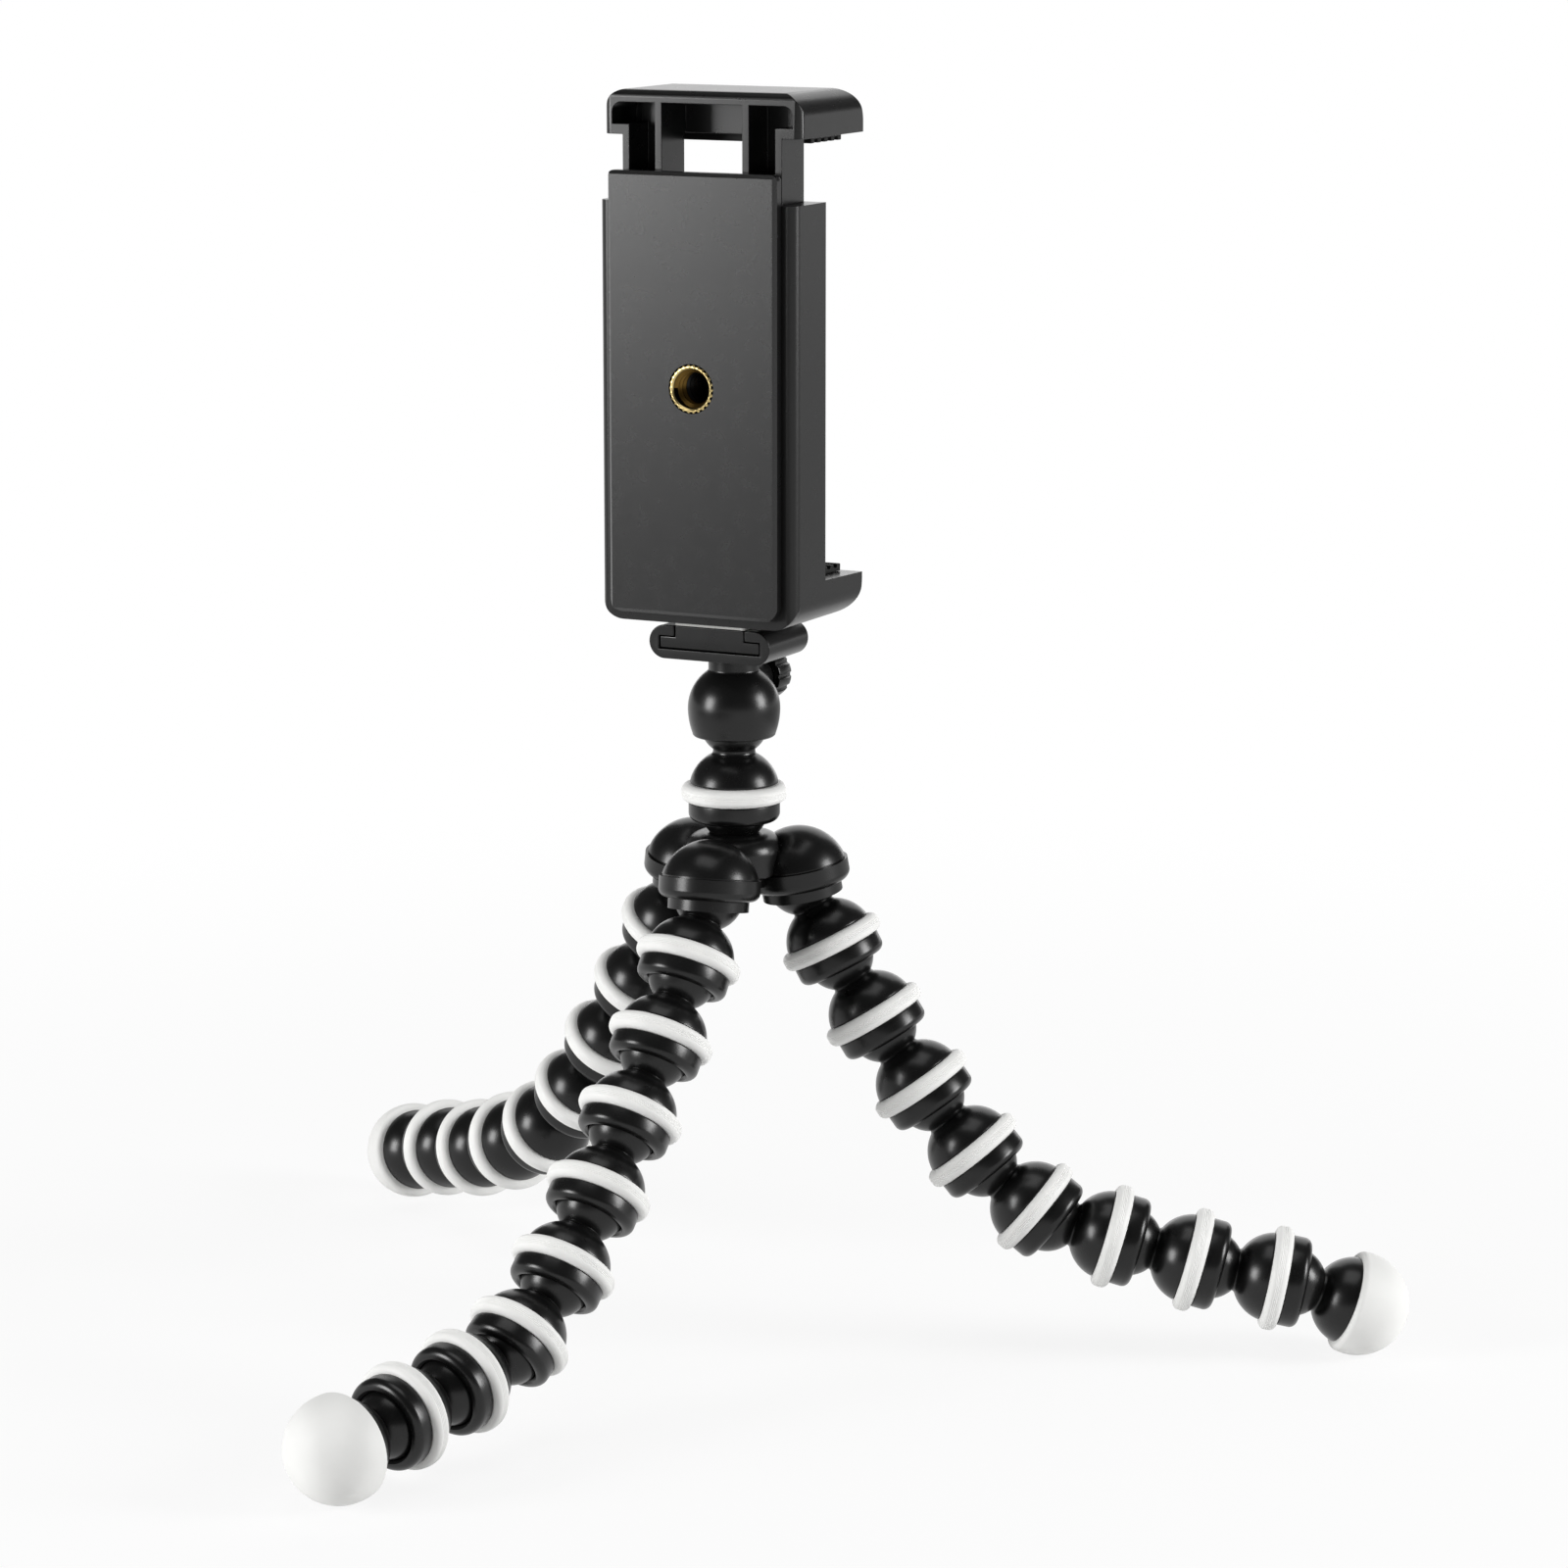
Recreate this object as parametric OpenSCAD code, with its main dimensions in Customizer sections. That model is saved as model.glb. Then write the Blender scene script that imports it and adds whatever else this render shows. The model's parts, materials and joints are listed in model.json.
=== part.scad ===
// Flexible leg tripod: three snap-together ball-joint legs, a hub, a ball head and a sprung clamp
// Millimetres, +Z up, origin on the ground under the hub's axis, the clamp's cover facing -Y

/* [Leg joints] */
// Distance between one ball's centre and the next along a leg
joint_pitch = 13.6; // [13:0.1:16]
// Diameter of every ball
ball_d = 11.2; // [10.6:0.1:11.6]
// Radial gap between a ball and its socket
ball_gap = 0.15; // [0.1:0.05:0.2]
// Diameter of the neck between a ball and its dome
neck_d = 6.8; // [6:0.1:7.4]
// Radius of the fillet where the neck meets the dome
neck_fillet = 0.7; // [0.4:0.1:1]
// Diameter of a dome at its ring
dome_d = 14.5; // [14.2:0.1:15.6]
// Radius of the dome's rounded flank
dome_round = 6.6; // [6:0.1:7]
// Distance of the flank's middle past the dome's edge, towards the foot
dome_drop = 1.2; // [0.8:0.1:1.6]
// Diameter of the collar below the ring
collar_d = 14.7; // [14.5:0.1:16]
// Radius of the collar's lower edge
collar_round = 1.3; // [0.8:0.1:1.4]
// Depth of a leg socket's mouth below its ball's centre
mouth_drop = 2.1; // [1.9:0.05:2.2]
// Width of the flare at a socket's mouth
mouth_flare = 0.4; // [0.2:0.1:0.5]
// Distance from the middle of a ring to the ball's centre below it
ring_to_socket = 2.55; // [2.3:0.05:2.9]

/* [Rings] */
// Outer diameter of a ring
ring_d = 17; // [16.6:0.1:18.2]
// Height of a ring
ring_h = 2.9; // [2.2:0.1:3.1]
// Radius of a ring's outer edges
ring_round = 1.2; // [0.6:0.1:1.4]
// Diameter of the groove that a ring sits in
groove_d = 13.4; // [13.2:0.1:13.8]
// Gap between a ring and its groove
ring_fit = 0.05; // [0.02:0.01:0.1]

/* [Feet] */
// Diameter of a foot's rubber cap
foot_d = 16.8; // [16.4:0.1:18]
// Distance from the last ball's centre to the middle of the cap
foot_reach = 11.5; // [10.4:0.1:12.5]
// Diameter of the peg inside the cap
peg_d = 8.4; // [6:0.1:9]
// Length of the peg inside the cap
peg_l = 5; // [3:0.1:6]
// Gap between the peg and the cap
peg_fit = 0.05; // [0.02:0.01:0.1]
// Bevel of the cap's rim
cap_bevel = 0.8; // [0.2:0.1:0.9]

/* [Hub] */
// Bearing of the right leg's socket about the hub's axis
hub_bearing = 35; // [0:1:119]
// Distance of a leg socket's ball centre from the hub's axis
socket_reach = 10.8; // [10.6:0.1:12.5]
// Lean of a leg socket's axis from the vertical
socket_lean = 10; // [6:1:16]
// Diameter of the dome over a leg socket
hub_dome_d = 16; // [15.6:0.1:16.4]
// Height of a dome's middle above its ball's centre
dome_lift = 1.1; // [0.8:0.1:1.6]
// Height of a dome's seam above its ball's centre
seam_lift = 3.2; // [2.6:0.1:3.6]
// Diameter of the skirt below a dome's seam
skirt_d = 16.3; // [16:0.1:17]
// Depth of the skirt below a dome's seam
skirt_h = 3.7; // [3:0.1:4]
// Radius of the skirt's lower edge
skirt_round = 1.4; // [0.5:0.1:1.4]
// Depth of the seam groove round a dome
seam_groove = 0.3; // [0.1:0.05:0.5]
// Outer diameter of the lip round a socket's mouth
lip_d = 13; // [12.6:0.1:14]
// Depth of a hub socket's mouth below its ball's centre
hub_mouth_drop = 2.2; // [2:0.1:2.3]
// Diameter of the central boss between the domes
boss_d = 16; // [14:0.1:17]
// Radius of the boss's upper edge
boss_round = 3; // [2:0.1:4]
// Height of the boss's top above the leg sockets' centres
boss_rise = 8.5; // [7.6:0.1:8.6]
// Height of the hub's own ball above the leg sockets' centres
hub_ball_rise = 12.5; // [12.2:0.1:14]
// Diameter of the hub screw's shank
hub_screw_d = 2.5; // [2:0.1:3]
// Diameter of the hub screw's head
hub_screw_head_d = 5; // [4:0.1:5.4]
// Thickness of the hub screw's head
hub_screw_head_t = 1.2; // [1:0.1:1.6]
// Length of the hub screw's shank
hub_screw_l = 7; // [5:0.1:7]
// Radius of the web that joins the hub's skirts
web_r = 6.4; // [6:0.1:6.8]
// Thickness of the web over the hub screw's head
web_floor = 0.9; // [0.8:0.1:1.4]
// Wall of the boss round the hub screw's head
screw_boss_wall = 1; // [0.8:0.1:1.4]

/* [Neck and head] */
// Distance from the hub's ball centre to the head's ball centre
neck_pitch = 14; // [13.6:0.1:16]
// Diameter of the head's housing
head_d = 14.8; // [14.4:0.1:16]
// Height of the housing's middle above its ball's centre
head_lift = 2.2; // [1.8:0.1:2.6]
// Radius of the housing's flank below its middle
head_flank = 11.6; // [9:0.1:16]
// Depth of the head socket's mouth below its ball's centre
head_mouth_drop = 2.3; // [2:0.1:2.4]
// Width of the flare at the head socket's mouth
head_flare = 0.4; // [0.2:0.1:0.5]
// Bevel of the housing's lower rim
head_bevel = 0.5; // [0.2:0.1:0.6]
// Diameter of the stem between the housing and the shoe
stem_d = 8.2; // [7:0.1:10]
// Height of the shoe's underside above the housing's middle
stem_rise = 8.7; // [8.4:0.1:10]
// Height of the lock screw above the housing's middle
lock_rise = 3.9; // [3.6:0.1:4.2]
// Diameter of the lock screw
lock_screw_d = 3; // [2.4:0.1:3.2]
// Diameter of the boss round the lock screw
lock_boss_d = 6; // [5:0.1:6.6]
// Distance of the lock boss's face from the neck's axis
lock_boss_reach = 8.2; // [7.6:0.1:9]
// Diameter of the lock knob
knob_d = 8.6; // [7:0.1:9]
// Thickness of the lock knob
knob_t = 4.2; // [3:0.1:5]
// Number of grip flutes round the lock knob
knob_flutes = 12; // [6:1:18]
// Radius of a grip flute
flute_r = 0.5; // [0.2:0.05:0.7]

/* [Quick-release shoe] */
// Width of the shoe
shoe_w = 21.4; // [20:0.1:24]
// Height of the shoe, whose ends are half round
shoe_h = 5.4; // [5:0.1:6]
// Length of the shoe along the plate's travel
shoe_l = 14; // [12:0.1:18]
// Offset of the shoe's middle from the neck's axis
shoe_offset = -1.75; // [-3:0.05:0]
// Thickness of the shoe's floor
shoe_floor = 1.6; // [1.4:0.1:2]
// Thickness of the stop at the shoe's back
shoe_stop = 1.3; // [1:0.1:2]
// Width of the plate's flange
flange_w = 17.6; // [16:0.1:18.6]
// Thickness of the plate's flange
flange_t = 1.8; // [1.5:0.1:2]
// Width of the plate above its flange
tongue_w = 12.2; // [11.2:0.1:13]
// Height of the plate's top above the shoe's floor
plate_h = 3.8; // [3.4:0.1:4.4]
// Sliding gap between the plate and the shoe
slide_gap = 0.15; // [0.1:0.05:0.25]
// Thickness of the pad on the plate
pad_t = 1.1; // [0.8:0.1:1.6]
// Diameter of the plate screw at its thread's root
thread_root_d = 5; // [4.6:0.1:5.4]
// Radial gap between the plate screw and its insert
thread_gap = 0.05; // [0.02:0.01:0.1]
// Radial gap between the plate screw and the plate
screw_play = 0.8; // [0.6:0.1:1]
// Diameter of the plate screw's head
plate_screw_head_d = 10; // [8:0.1:11]
// Thickness of the plate screw's head
plate_screw_head_t = 1.6; // [1.2:0.1:1.8]
// Diameter of the shoe screw's shank
shoe_screw_d = 2.6; // [2:0.1:3]
// Diameter of the shoe screw's countersunk head
shoe_screw_head_d = 5; // [4.2:0.1:5.6]

/* [Clamp] */
// Width of the clamp
clamp_w = 34.4; // [33.6:0.1:40]
// Height of the clamp's body
body_h = 66.1; // [60:0.1:80]
// Depth of the body from the cover's joint to the gripped side
body_t = 8.9; // [8.6:0.1:12]
// Distance of the gripped side from the shoe's middle
body_offset = -0.25; // [-1:0.05:0.5]
// Radius of the body's lower corners
body_corner = 4; // [2:0.1:5]
// Thickness of the body's floor
body_floor = 3; // [2.5:0.1:4]
// Thickness of the body's wall against the gripped object
back_wall = 0.8; // [0.7:0.1:1]
// Depth of the jaws beyond the gripped side
jaw_reach = 13.4; // [10:0.1:16]
// Thickness of the lower jaw
lower_jaw_t = 6.8; // [6.4:0.1:9]
// Drop of the lower jaw's top from its root to its tip
jaw_taper = 0.4; // [0:0.1:2.4]
// Radius of the jaws' outer edges
jaw_round = 5.4; // [3:0.1:5.6]
// Width of the cover's raised panel
panel_w = 29.4; // [26:0.1:30.4]
// Height of the cover's raised panel
panel_h = 69.4; // [62:0.1:84]
// Height of the panel's lower edge above the body's underside
panel_drop = 1.5; // [0.8:0.1:3]
// Depth of the panel's face in front of the cover's joint
panel_rise = 3.7; // [3.2:0.1:4.2]
// Depth of the cover's shoulder in front of its joint
shoulder_rise = 1.7; // [1.7:0.1:2.4]
// Radius of the cover's shoulder
shoulder_round = 1.6; // [0.8:0.1:1.6]
// Bevel of the panel's edges
panel_bevel = 0.6; // [0.2:0.1:0.9]
// Radius of the panel's upper corners
panel_corner = 1; // [0.5:0.1:3]
// Radius of the panel's lower corners
panel_foot = 2.2; // [1:0.1:3]
// Outer diameter of a brass insert
insert_d = 7.7; // [7:0.1:8.4]
// Length of the front insert
front_insert_l = 9; // [6:0.1:9.4]
// Height of the front insert above the body's underside
insert_height = 37.4; // [25:0.1:45]
// Length of the bottom insert
bottom_insert_l = 5.5; // [4:0.1:6]
// Bevel at the mouth of an insert's thread
insert_bevel = 0.6; // [0.3:0.1:0.8]
// Diameter of the boss behind the front insert
insert_boss_d = 10.6; // [10:0.1:12]
// Diameter of a cover screw's shank
cover_screw_d = 1.6; // [1.2:0.1:1.8]
// Diameter of a cover screw's head
cover_screw_head_d = 2.6; // [2.2:0.1:2.8]
// Thickness of a cover screw's head
cover_screw_head_t = 1.2; // [0.8:0.1:1.6]
// Height of the lower cover screws above the body's underside
cover_screw_low = 11.5; // [10:0.1:16]
// Distance of the upper cover screws below the body's top
cover_screw_top = 5.1; // [4:0.1:8]

/* [Sprung jaw] */
// Opening between the two jaw pads at rest
jaw_opening = 67; // [62:0.1:72]
// Height of the jaw's cap
cap_h = 7; // [6.6:0.1:10]
// Thickness of the cap's top
cap_top = 2; // [1.6:0.1:3.4]
// Thickness of the cap's side walls
cap_wall = 1.5; // [1.2:0.1:2.6]
// Radius of the cap's upper corners
cap_corner = 3.6; // [2:0.1:4.4]
// Radius of the hollow's upper corners inside the cap
cap_inner = 1.6; // [0.5:0.1:2.4]
// Radius of the cap's front edges
cap_edge = 1.3; // [0.3:0.1:1.4]
// Gap between the jaw and the cover's joint
jaw_gap = 0.2; // [0.15:0.05:0.4]
// Thickness of the body's side walls
side_wall = 3.1; // [3:0.1:3.6]
// Gap between a slide leg and the front insert's boss
boss_gap = 1.7; // [1.2:0.1:2]
// Depth of a slide leg
slide_leg_t = 7.7; // [6:0.1:7.7]
// Wall of a slide leg
slide_wall = 1.2; // [1:0.1:1.4]
// Thickness of a slide leg's back
slide_back = 1.4; // [1:0.1:1.6]
// Length of a slide leg below the cap's top
slide_l = 50; // [44:0.5:56]
// Gap beside and behind a slide leg
slide_leg_gap = 0.2; // [0.15:0.05:0.3]
// Thickness of a jaw pad
jaw_pad_t = 1.2; // [0.8:0.1:1.6]
// Width of a jaw pad
jaw_pad_w = 28; // [20:0.1:30]
// Number of ribs on a jaw pad
pad_ribs = 5; // [3:1:7]
// Gap between a spring and its slide leg
spring_gap = 0.55; // [0.4:0.05:0.8]
// Diameter of a spring's wire
wire_d = 0.6; // [0.4:0.1:0.7]
// Number of turns in a spring
spring_turns = 13; // [8:1:20]
// Diameter of the pins that hold the springs
pin_d = 1.8; // [1.4:0.1:1.9]
// Height of the spring pins above the body's floor
pin_height = 4; // [3:0.1:6]
// Height of the slide legs' spring bars above the legs' ends
bar_height = 6; // [4:0.1:8]

/* [Pose] */
// Lean of the right leg's segments from the vertical, hub to foot
right_leans = [28, 32, 36, 40, 51, 74, 75, 79, 70]; // [0:1:90]
// Lean of the front leg's segments
front_leans = [32, 35, 39, 41, 43, 53, 77, 82, 84]; // [0:1:90]
// Lean of the rear leg's segments
rear_leans = [31, 33, 36, 40, 53, 70, 72, 78, 74]; // [0:1:90]
// Turn of the right leg's segments from their socket's bearing
right_turns = [-24, -23, -22, -22, -19, -13, -14, -13, -4]; // [-30:1:30]
// Turn of the front leg's segments
front_turns = [-12, -12, -12, -11, -13, -17, -17, -17, -17]; // [-30:1:30]
// Turn of the rear leg's segments
rear_turns = [2, 3, 3, 0, -3, -8, -9, -8, -8]; // [-30:1:30]

/* [Hidden] */
$fn = 64;
// Overlap that joins the shapes of one piece, and reach of a cut past a face
join = 0.01;
past = 1;
// Larger than the part, for half spaces
far = 400;

leg_names = ["right", "front", "rear"];
legs = [0, 1, 2];
links = [0 : 7];
foot_link = 8;

// Colours of the finishes
black = "#232323";
grey = "#4b4b4b";
white = "#f2f2f0";
pale = "#d8d8d6";
brass = "#b59a55";
steel = "#a9adb0";

// Radii and levels of one leg segment, from its ball's centre towards the foot
ball_r = ball_d / 2;
socket_r = ball_r + ball_gap;
neck_r = neck_d / 2;
dome_r = dome_d / 2;
collar_r = collar_d / 2;
groove_r = groove_d / 2;
groove_h = ring_h + 2 * ring_fit;
function ring_mid(pitch) = pitch - ring_to_socket;
function dome_base(pitch) = ring_mid(pitch) - groove_h / 2;
function groove_end(pitch) = ring_mid(pitch) + groove_h / 2;
function dome_mid(pitch) = dome_base(pitch) + dome_drop;

// Centre of the neck fillet, and where it meets the dome
dome_centre_r = dome_r - dome_round;
fillet_r = neck_r + neck_fillet;
fillet_up = sqrt(pow(dome_round + neck_fillet, 2) - pow(fillet_r - dome_centre_r, 2));
fillet_share = dome_round / (dome_round + neck_fillet);
fillet_meet_r = dome_centre_r + (fillet_r - dome_centre_r) * fillet_share;
fillet_meet_up = fillet_up * fillet_share;

// Foot levels, from the last ball's centre
foot_r = foot_d / 2;
cap_rim = dome_base(joint_pitch);

// Pose of the legs: the right leg sets the hub's height, the others settle until their feet touch
leans = [right_leans, front_leans, rear_leans];
turns = [right_turns, front_turns, rear_turns];
function link_l(i) = i == foot_link ? foot_reach : joint_pitch;
function total(list, i = 0) = i == len(list) ? 0 : list[i] + total(list, i + 1);
function fall(leg) = total([for (i = [0 : foot_link]) link_l(i) * cos(leans[leg][i])]);
function reach(leg) = total([for (i = [0 : foot_link]) link_l(i) * sin(leans[leg][i])]);
function settle(leg) = acos(fall(0) / norm([fall(leg), reach(leg)])) - atan2(reach(leg), fall(leg));
function lean(leg, i) = leans[leg][i] + settle(leg);
function socket_bearing(leg) = hub_bearing - 120 * leg;
function bearing(leg, i) = socket_bearing(leg) + turns[leg][i];
function aim(l, b) = [sin(l) * cos(b), sin(l) * sin(b), -cos(l)];
function link_aim(leg, i) = aim(lean(leg, i), bearing(leg, i));
function ball_at(leg, i) = i == 0 ? socket_at(leg) : ball_at(leg, i - 1) + joint_pitch * link_aim(leg, i - 1);

// Heights up the middle of the tripod
socket_z = fall(0) + foot_r;
function socket_at(leg) =
    [socket_reach * cos(socket_bearing(leg)), socket_reach * sin(socket_bearing(leg)), socket_z];
hub_dome_r = hub_dome_d / 2;
skirt_r = skirt_d / 2;
boss_top = socket_z + boss_rise;
hub_ball_z = socket_z + hub_ball_rise;
head_ball_z = hub_ball_z + neck_pitch;
head_z = head_ball_z + head_lift;
head_r = head_d / 2;
head_rim = head_ball_z - head_mouth_drop;
shoe_z = head_z + stem_rise;
lock_z = head_z + lock_rise;

// The lock screw's tip clears the ball, and its knob clears the boss
lock_screw_r = lock_screw_d / 2;
lock_low = lock_z - lock_screw_r - head_ball_z;
lock_tip = sqrt(pow(ball_r + ball_gap, 2) - pow(lock_low, 2)) + ball_gap;
knob_start = lock_boss_reach + ball_gap;

// Hub screw levels
seam_meet_z = socket_z + seam_lift * cos(socket_lean)
    - (socket_reach - seam_lift * sin(socket_lean)) * tan(socket_lean);
hub_screw_seat = seam_meet_z - web_floor;
hub_screw_end = hub_screw_seat - hub_screw_head_t;
web_end = hub_screw_seat - web_floor / 3;
screw_boss_r = hub_screw_head_d / 2 + screw_boss_wall;

// Shoe and plate levels
shoe_back = shoe_offset + shoe_l / 2;
shoe_front = shoe_offset - shoe_l / 2;
floor_z = shoe_z + shoe_floor;
plate_z = floor_z + slide_gap;
flange_top = plate_z + flange_t;
plate_top = floor_z + plate_h;
pad_top = plate_top + pad_t;
plate_back = shoe_back - shoe_stop - slide_gap;
plate_front = shoe_front + slide_gap;
screw_hole_d = thread_root_d + 2 * screw_play;
plate_screw_z = plate_z + 0.1;

// Clamp levels; the clamp stands on the plate's pad
turn_gap = 0.05;
body_z = pad_top + turn_gap;
grip_y = shoe_offset + body_offset;
joint_y = grip_y - body_t;
jaw_tip_y = grip_y + jaw_reach;
body_top = body_z + body_h;
lower_jaw_top = body_z + lower_jaw_t;
panel_z = body_z + panel_drop;
insert_z = body_z + insert_height;
thread_r = thread_root_d / 2 + thread_gap;
cavity_w = clamp_w - 2 * side_wall;
slide_w = cavity_w - 2 * slide_leg_gap;
slide_leg_w = (slide_w - insert_boss_d) / 2 - boss_gap;
cavity_z = body_z + body_floor;
wall_y = grip_y - back_wall;
cover_screw_x = clamp_w / 2 - side_wall / 2;
cover_screw_heights = [cover_screw_low, body_h - cover_screw_top];

// Sprung jaw levels
upper_pad_z = lower_jaw_top + jaw_pad_t + jaw_opening;
jaw_z = upper_pad_z + jaw_pad_t;
cap_top_z = jaw_z + cap_h;
ceiling_z = cap_top_z - cap_top;
jaw_front = joint_y + jaw_gap;
slide_back_y = jaw_front + slide_leg_t;
slide_end_z = cap_top_z - slide_l;
slide_x = slide_w / 2 - slide_leg_w / 2;
channel_w = slide_leg_w - 2 * slide_wall;
channel_t = slide_leg_t - slide_back;
spring_y = jaw_front + channel_t / 2;
pin_z = cavity_z + pin_height;
bar_z = slide_end_z + bar_height;
pin_r = pin_d / 2;
spring_d = channel_w - 2 * spring_gap;
spring_r = spring_d / 2;
wire_r = wire_d / 2;
eye_r = pin_r + wire_r + 0.1;
coil_start = pin_z + eye_r;
coil_end = bar_z - eye_r;
ear_t = 1.2;
ear_x = slide_x - channel_w / 2 - slide_wall / 2;
pin_from = ear_x - ear_t / 2;
pin_to = cavity_w / 2 + side_wall / 3;
grip_front = grip_y - 0.6;
hollow_w = clamp_w - 2 * cap_wall;
stop_tab = 1.6;

// Names of the leg nodes
function segment_name(leg, i) = str(leg_names[leg], "_leg_segment_", i + 1);
function stud_name(leg) = str(leg_names[leg], "_foot_stud");
function cap_name(leg) = str(leg_names[leg], "_foot_cap");

// Flat shapes that the pieces are turned or pushed from
module half_disc(r) {
    intersection() {
        circle(r);
        translate([0, -r]) square([r, 2 * r]);
    }
}

module rounded_rect(w, h, r) {
    translate([-w / 2 + r, 0]) square([w - 2 * r, h]);
    translate([-w / 2, r]) square([w, h - 2 * r]);
    for (x = [-1, 1], y = [r, h - r]) translate([x * (w / 2 - r), y]) circle(r);
}

// Outline with square feet and two rounded shoulders of radius r at the top
module round_top(w, h, r) {
    translate([-w / 2, 0]) square([w, h - r]);
    translate([-w / 2 + r, 0]) square([w - 2 * r, h]);
    for (x = [-1, 1]) translate([x * (w / 2 - r), h - r]) circle(r);
}

module bevel_top(w, h, b) {
    polygon([[-w / 2, 0], [w / 2, 0], [w / 2, h - b], [w / 2 - b, h], [-w / 2 + b, h], [-w / 2, h - b]]);
}

// Pushes a shape drawn in X and Z backwards along Y
module push_y(from, to) {
    translate([0, to, 0]) rotate([90, 0, 0]) linear_extrude(to - from) children();
}

// Pushes a shape drawn in Y and Z sideways along X
module push_x(from, to) {
    translate([from, 0, 0]) rotate([90, 0, 90]) linear_extrude(to - from) children();
}

module rod_y(x, z, r, from, to) {
    translate([x, to, z]) rotate([90, 0, 0]) cylinder(r = r, h = to - from);
}

module rod_x(y, z, r, from, to) {
    translate([from, y, z]) rotate([0, 90, 0]) cylinder(r = r, h = to - from);
}

// Places a shape whose +Z runs towards the foot
module along(point, l, b) {
    translate(point) rotate([0, 180 - l, b]) children();
}

module at_link(leg, i) {
    along(ball_at(leg, i), lean(leg, i), bearing(leg, i)) children();
}

module at_socket(leg) {
    along(socket_at(leg), socket_lean, socket_bearing(leg)) children();
}

// Leg segments
module stalk_profile(pitch) {
    base = dome_base(pitch);
    half_disc(ball_r);
    mid = dome_mid(pitch);
    square([neck_r, base]);
    translate([0, mid - dome_round]) square([dome_centre_r, base - mid + dome_round]);
    intersection() {
        translate([dome_centre_r, mid]) circle(dome_round);
        translate([0, base - dome_round]) square([dome_r, dome_round]);
    }
    difference() {
        translate([neck_r - join, mid - fillet_up])
            square([fillet_meet_r - neck_r + join, fillet_up - fillet_meet_up]);
        translate([fillet_r, mid - fillet_up]) circle(neck_fillet);
    }
}

module collar_profile(from, to) {
    translate([0, from]) square([collar_r, to - from - collar_round]);
    translate([0, from]) square([collar_r - collar_round, to - from]);
    translate([collar_r - collar_round, to - collar_round]) circle(collar_round);
}

// The socket of radius socket_r round a ball at level z, flared at its mouth
module socket_profile(z, drop, flare = mouth_flare) {
    mouth_r = sqrt(pow(socket_r, 2) - pow(drop - flare, 2));
    translate([0, z]) half_disc(socket_r);
    translate([0, z + drop - flare])
        polygon([[0, 0], [mouth_r, 0], [mouth_r + flare, flare], [mouth_r + flare, flare + past],
                 [0, flare + past]]);
}

module segment_shell(pitch) {
    rotate_extrude() difference() {
        union() {
            stalk_profile(pitch);
            translate([0, dome_base(pitch) - join]) square([groove_r, groove_h + 2 * join]);
            collar_profile(groove_end(pitch), pitch + mouth_drop);
        }
        socket_profile(pitch, mouth_drop);
    }
}

module grip_ring(pitch) {
    inner = groove_r + ring_fit;
    outer = ring_d / 2;
    rotate_extrude() translate([0, ring_mid(pitch) - ring_h / 2]) intersection() {
        translate([inner, 0]) square([outer, ring_h]);
        union() {
            square([outer - ring_round, ring_h]);
            translate([0, ring_round]) square([outer, ring_h - 2 * ring_round]);
            for (z = [ring_round, ring_h - ring_round]) translate([outer - ring_round, z]) circle(ring_round);
        }
    }
}

module leg_segment(leg, i) {
    at_link(leg, i) {
        color(black) segment_shell(joint_pitch);
        color(white) grip_ring(joint_pitch);
    }
}

module foot_stud(leg) {
    color(black) at_link(leg, foot_link) {
        rotate_extrude() {
            stalk_profile(joint_pitch);
            translate([0, cap_rim - join]) square([peg_d / 2, peg_l + join]);
        }
    }
}

module foot_cap(leg) {
    rim_r = sqrt(pow(foot_r, 2) - pow(foot_reach - cap_rim, 2));
    color(white) at_link(leg, foot_link) {
        rotate_extrude() difference() {
            intersection() {
                translate([0, foot_reach]) half_disc(foot_r);
                translate([0, cap_rim]) square([foot_r, 2 * foot_r]);
            }
            translate([0, cap_rim - past]) square([peg_d / 2 + peg_fit, peg_l + peg_fit + past]);
            translate([rim_r, cap_rim]) rotate(45) square(cap_bevel * sqrt(2), center = true);
        }
    }
}

// Hub
module hub_lobes() {
    for (leg = legs) at_socket(leg) translate([0, 0, -dome_lift]) sphere(hub_dome_r);
    rotate_extrude() {
        translate([0, seam_meet_z - past]) square([boss_d / 2, boss_top - boss_round - seam_meet_z + past]);
        translate([0, seam_meet_z]) square([boss_d / 2 - boss_round, boss_top - seam_meet_z]);
        translate([boss_d / 2 - boss_round, boss_top - boss_round]) circle(boss_round);
    }
}

// Everything on the cover's side of a dome's seam
module above_seam(leg) {
    at_socket(leg) translate([-far / 2, -far / 2, -seam_lift - far]) cube(far);
}

module hub_cover() {
    color(black) difference() {
        union() {
            intersection() {
                hub_lobes();
                above_seam(0);
                above_seam(1);
                above_seam(2);
            }
            translate([0, 0, hub_ball_z]) sphere(ball_r);
            translate([0, 0, boss_top - past]) cylinder(r = neck_r, h = hub_ball_z - boss_top + past);
        }
        for (leg = legs) at_socket(leg) sphere(socket_r);
        translate([0, 0, hub_screw_seat])
            cylinder(d = hub_screw_d + 2 * ring_fit, h = hub_screw_l + ring_fit);
    }
}

module skirt_profile() {
    start = -seam_lift;
    end = start + skirt_h;
    translate([0, start]) square([skirt_r - 2 * seam_groove, skirt_h - skirt_round]);
    translate([0, start]) square([skirt_r - skirt_round, skirt_h]);
    translate([0, start + seam_groove]) square([skirt_r, skirt_h - skirt_round - seam_groove]);
    translate([skirt_r - skirt_round, end - skirt_round]) circle(skirt_round);
    translate([0, start]) square([lip_d / 2, hub_mouth_drop + seam_lift]);
}

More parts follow.
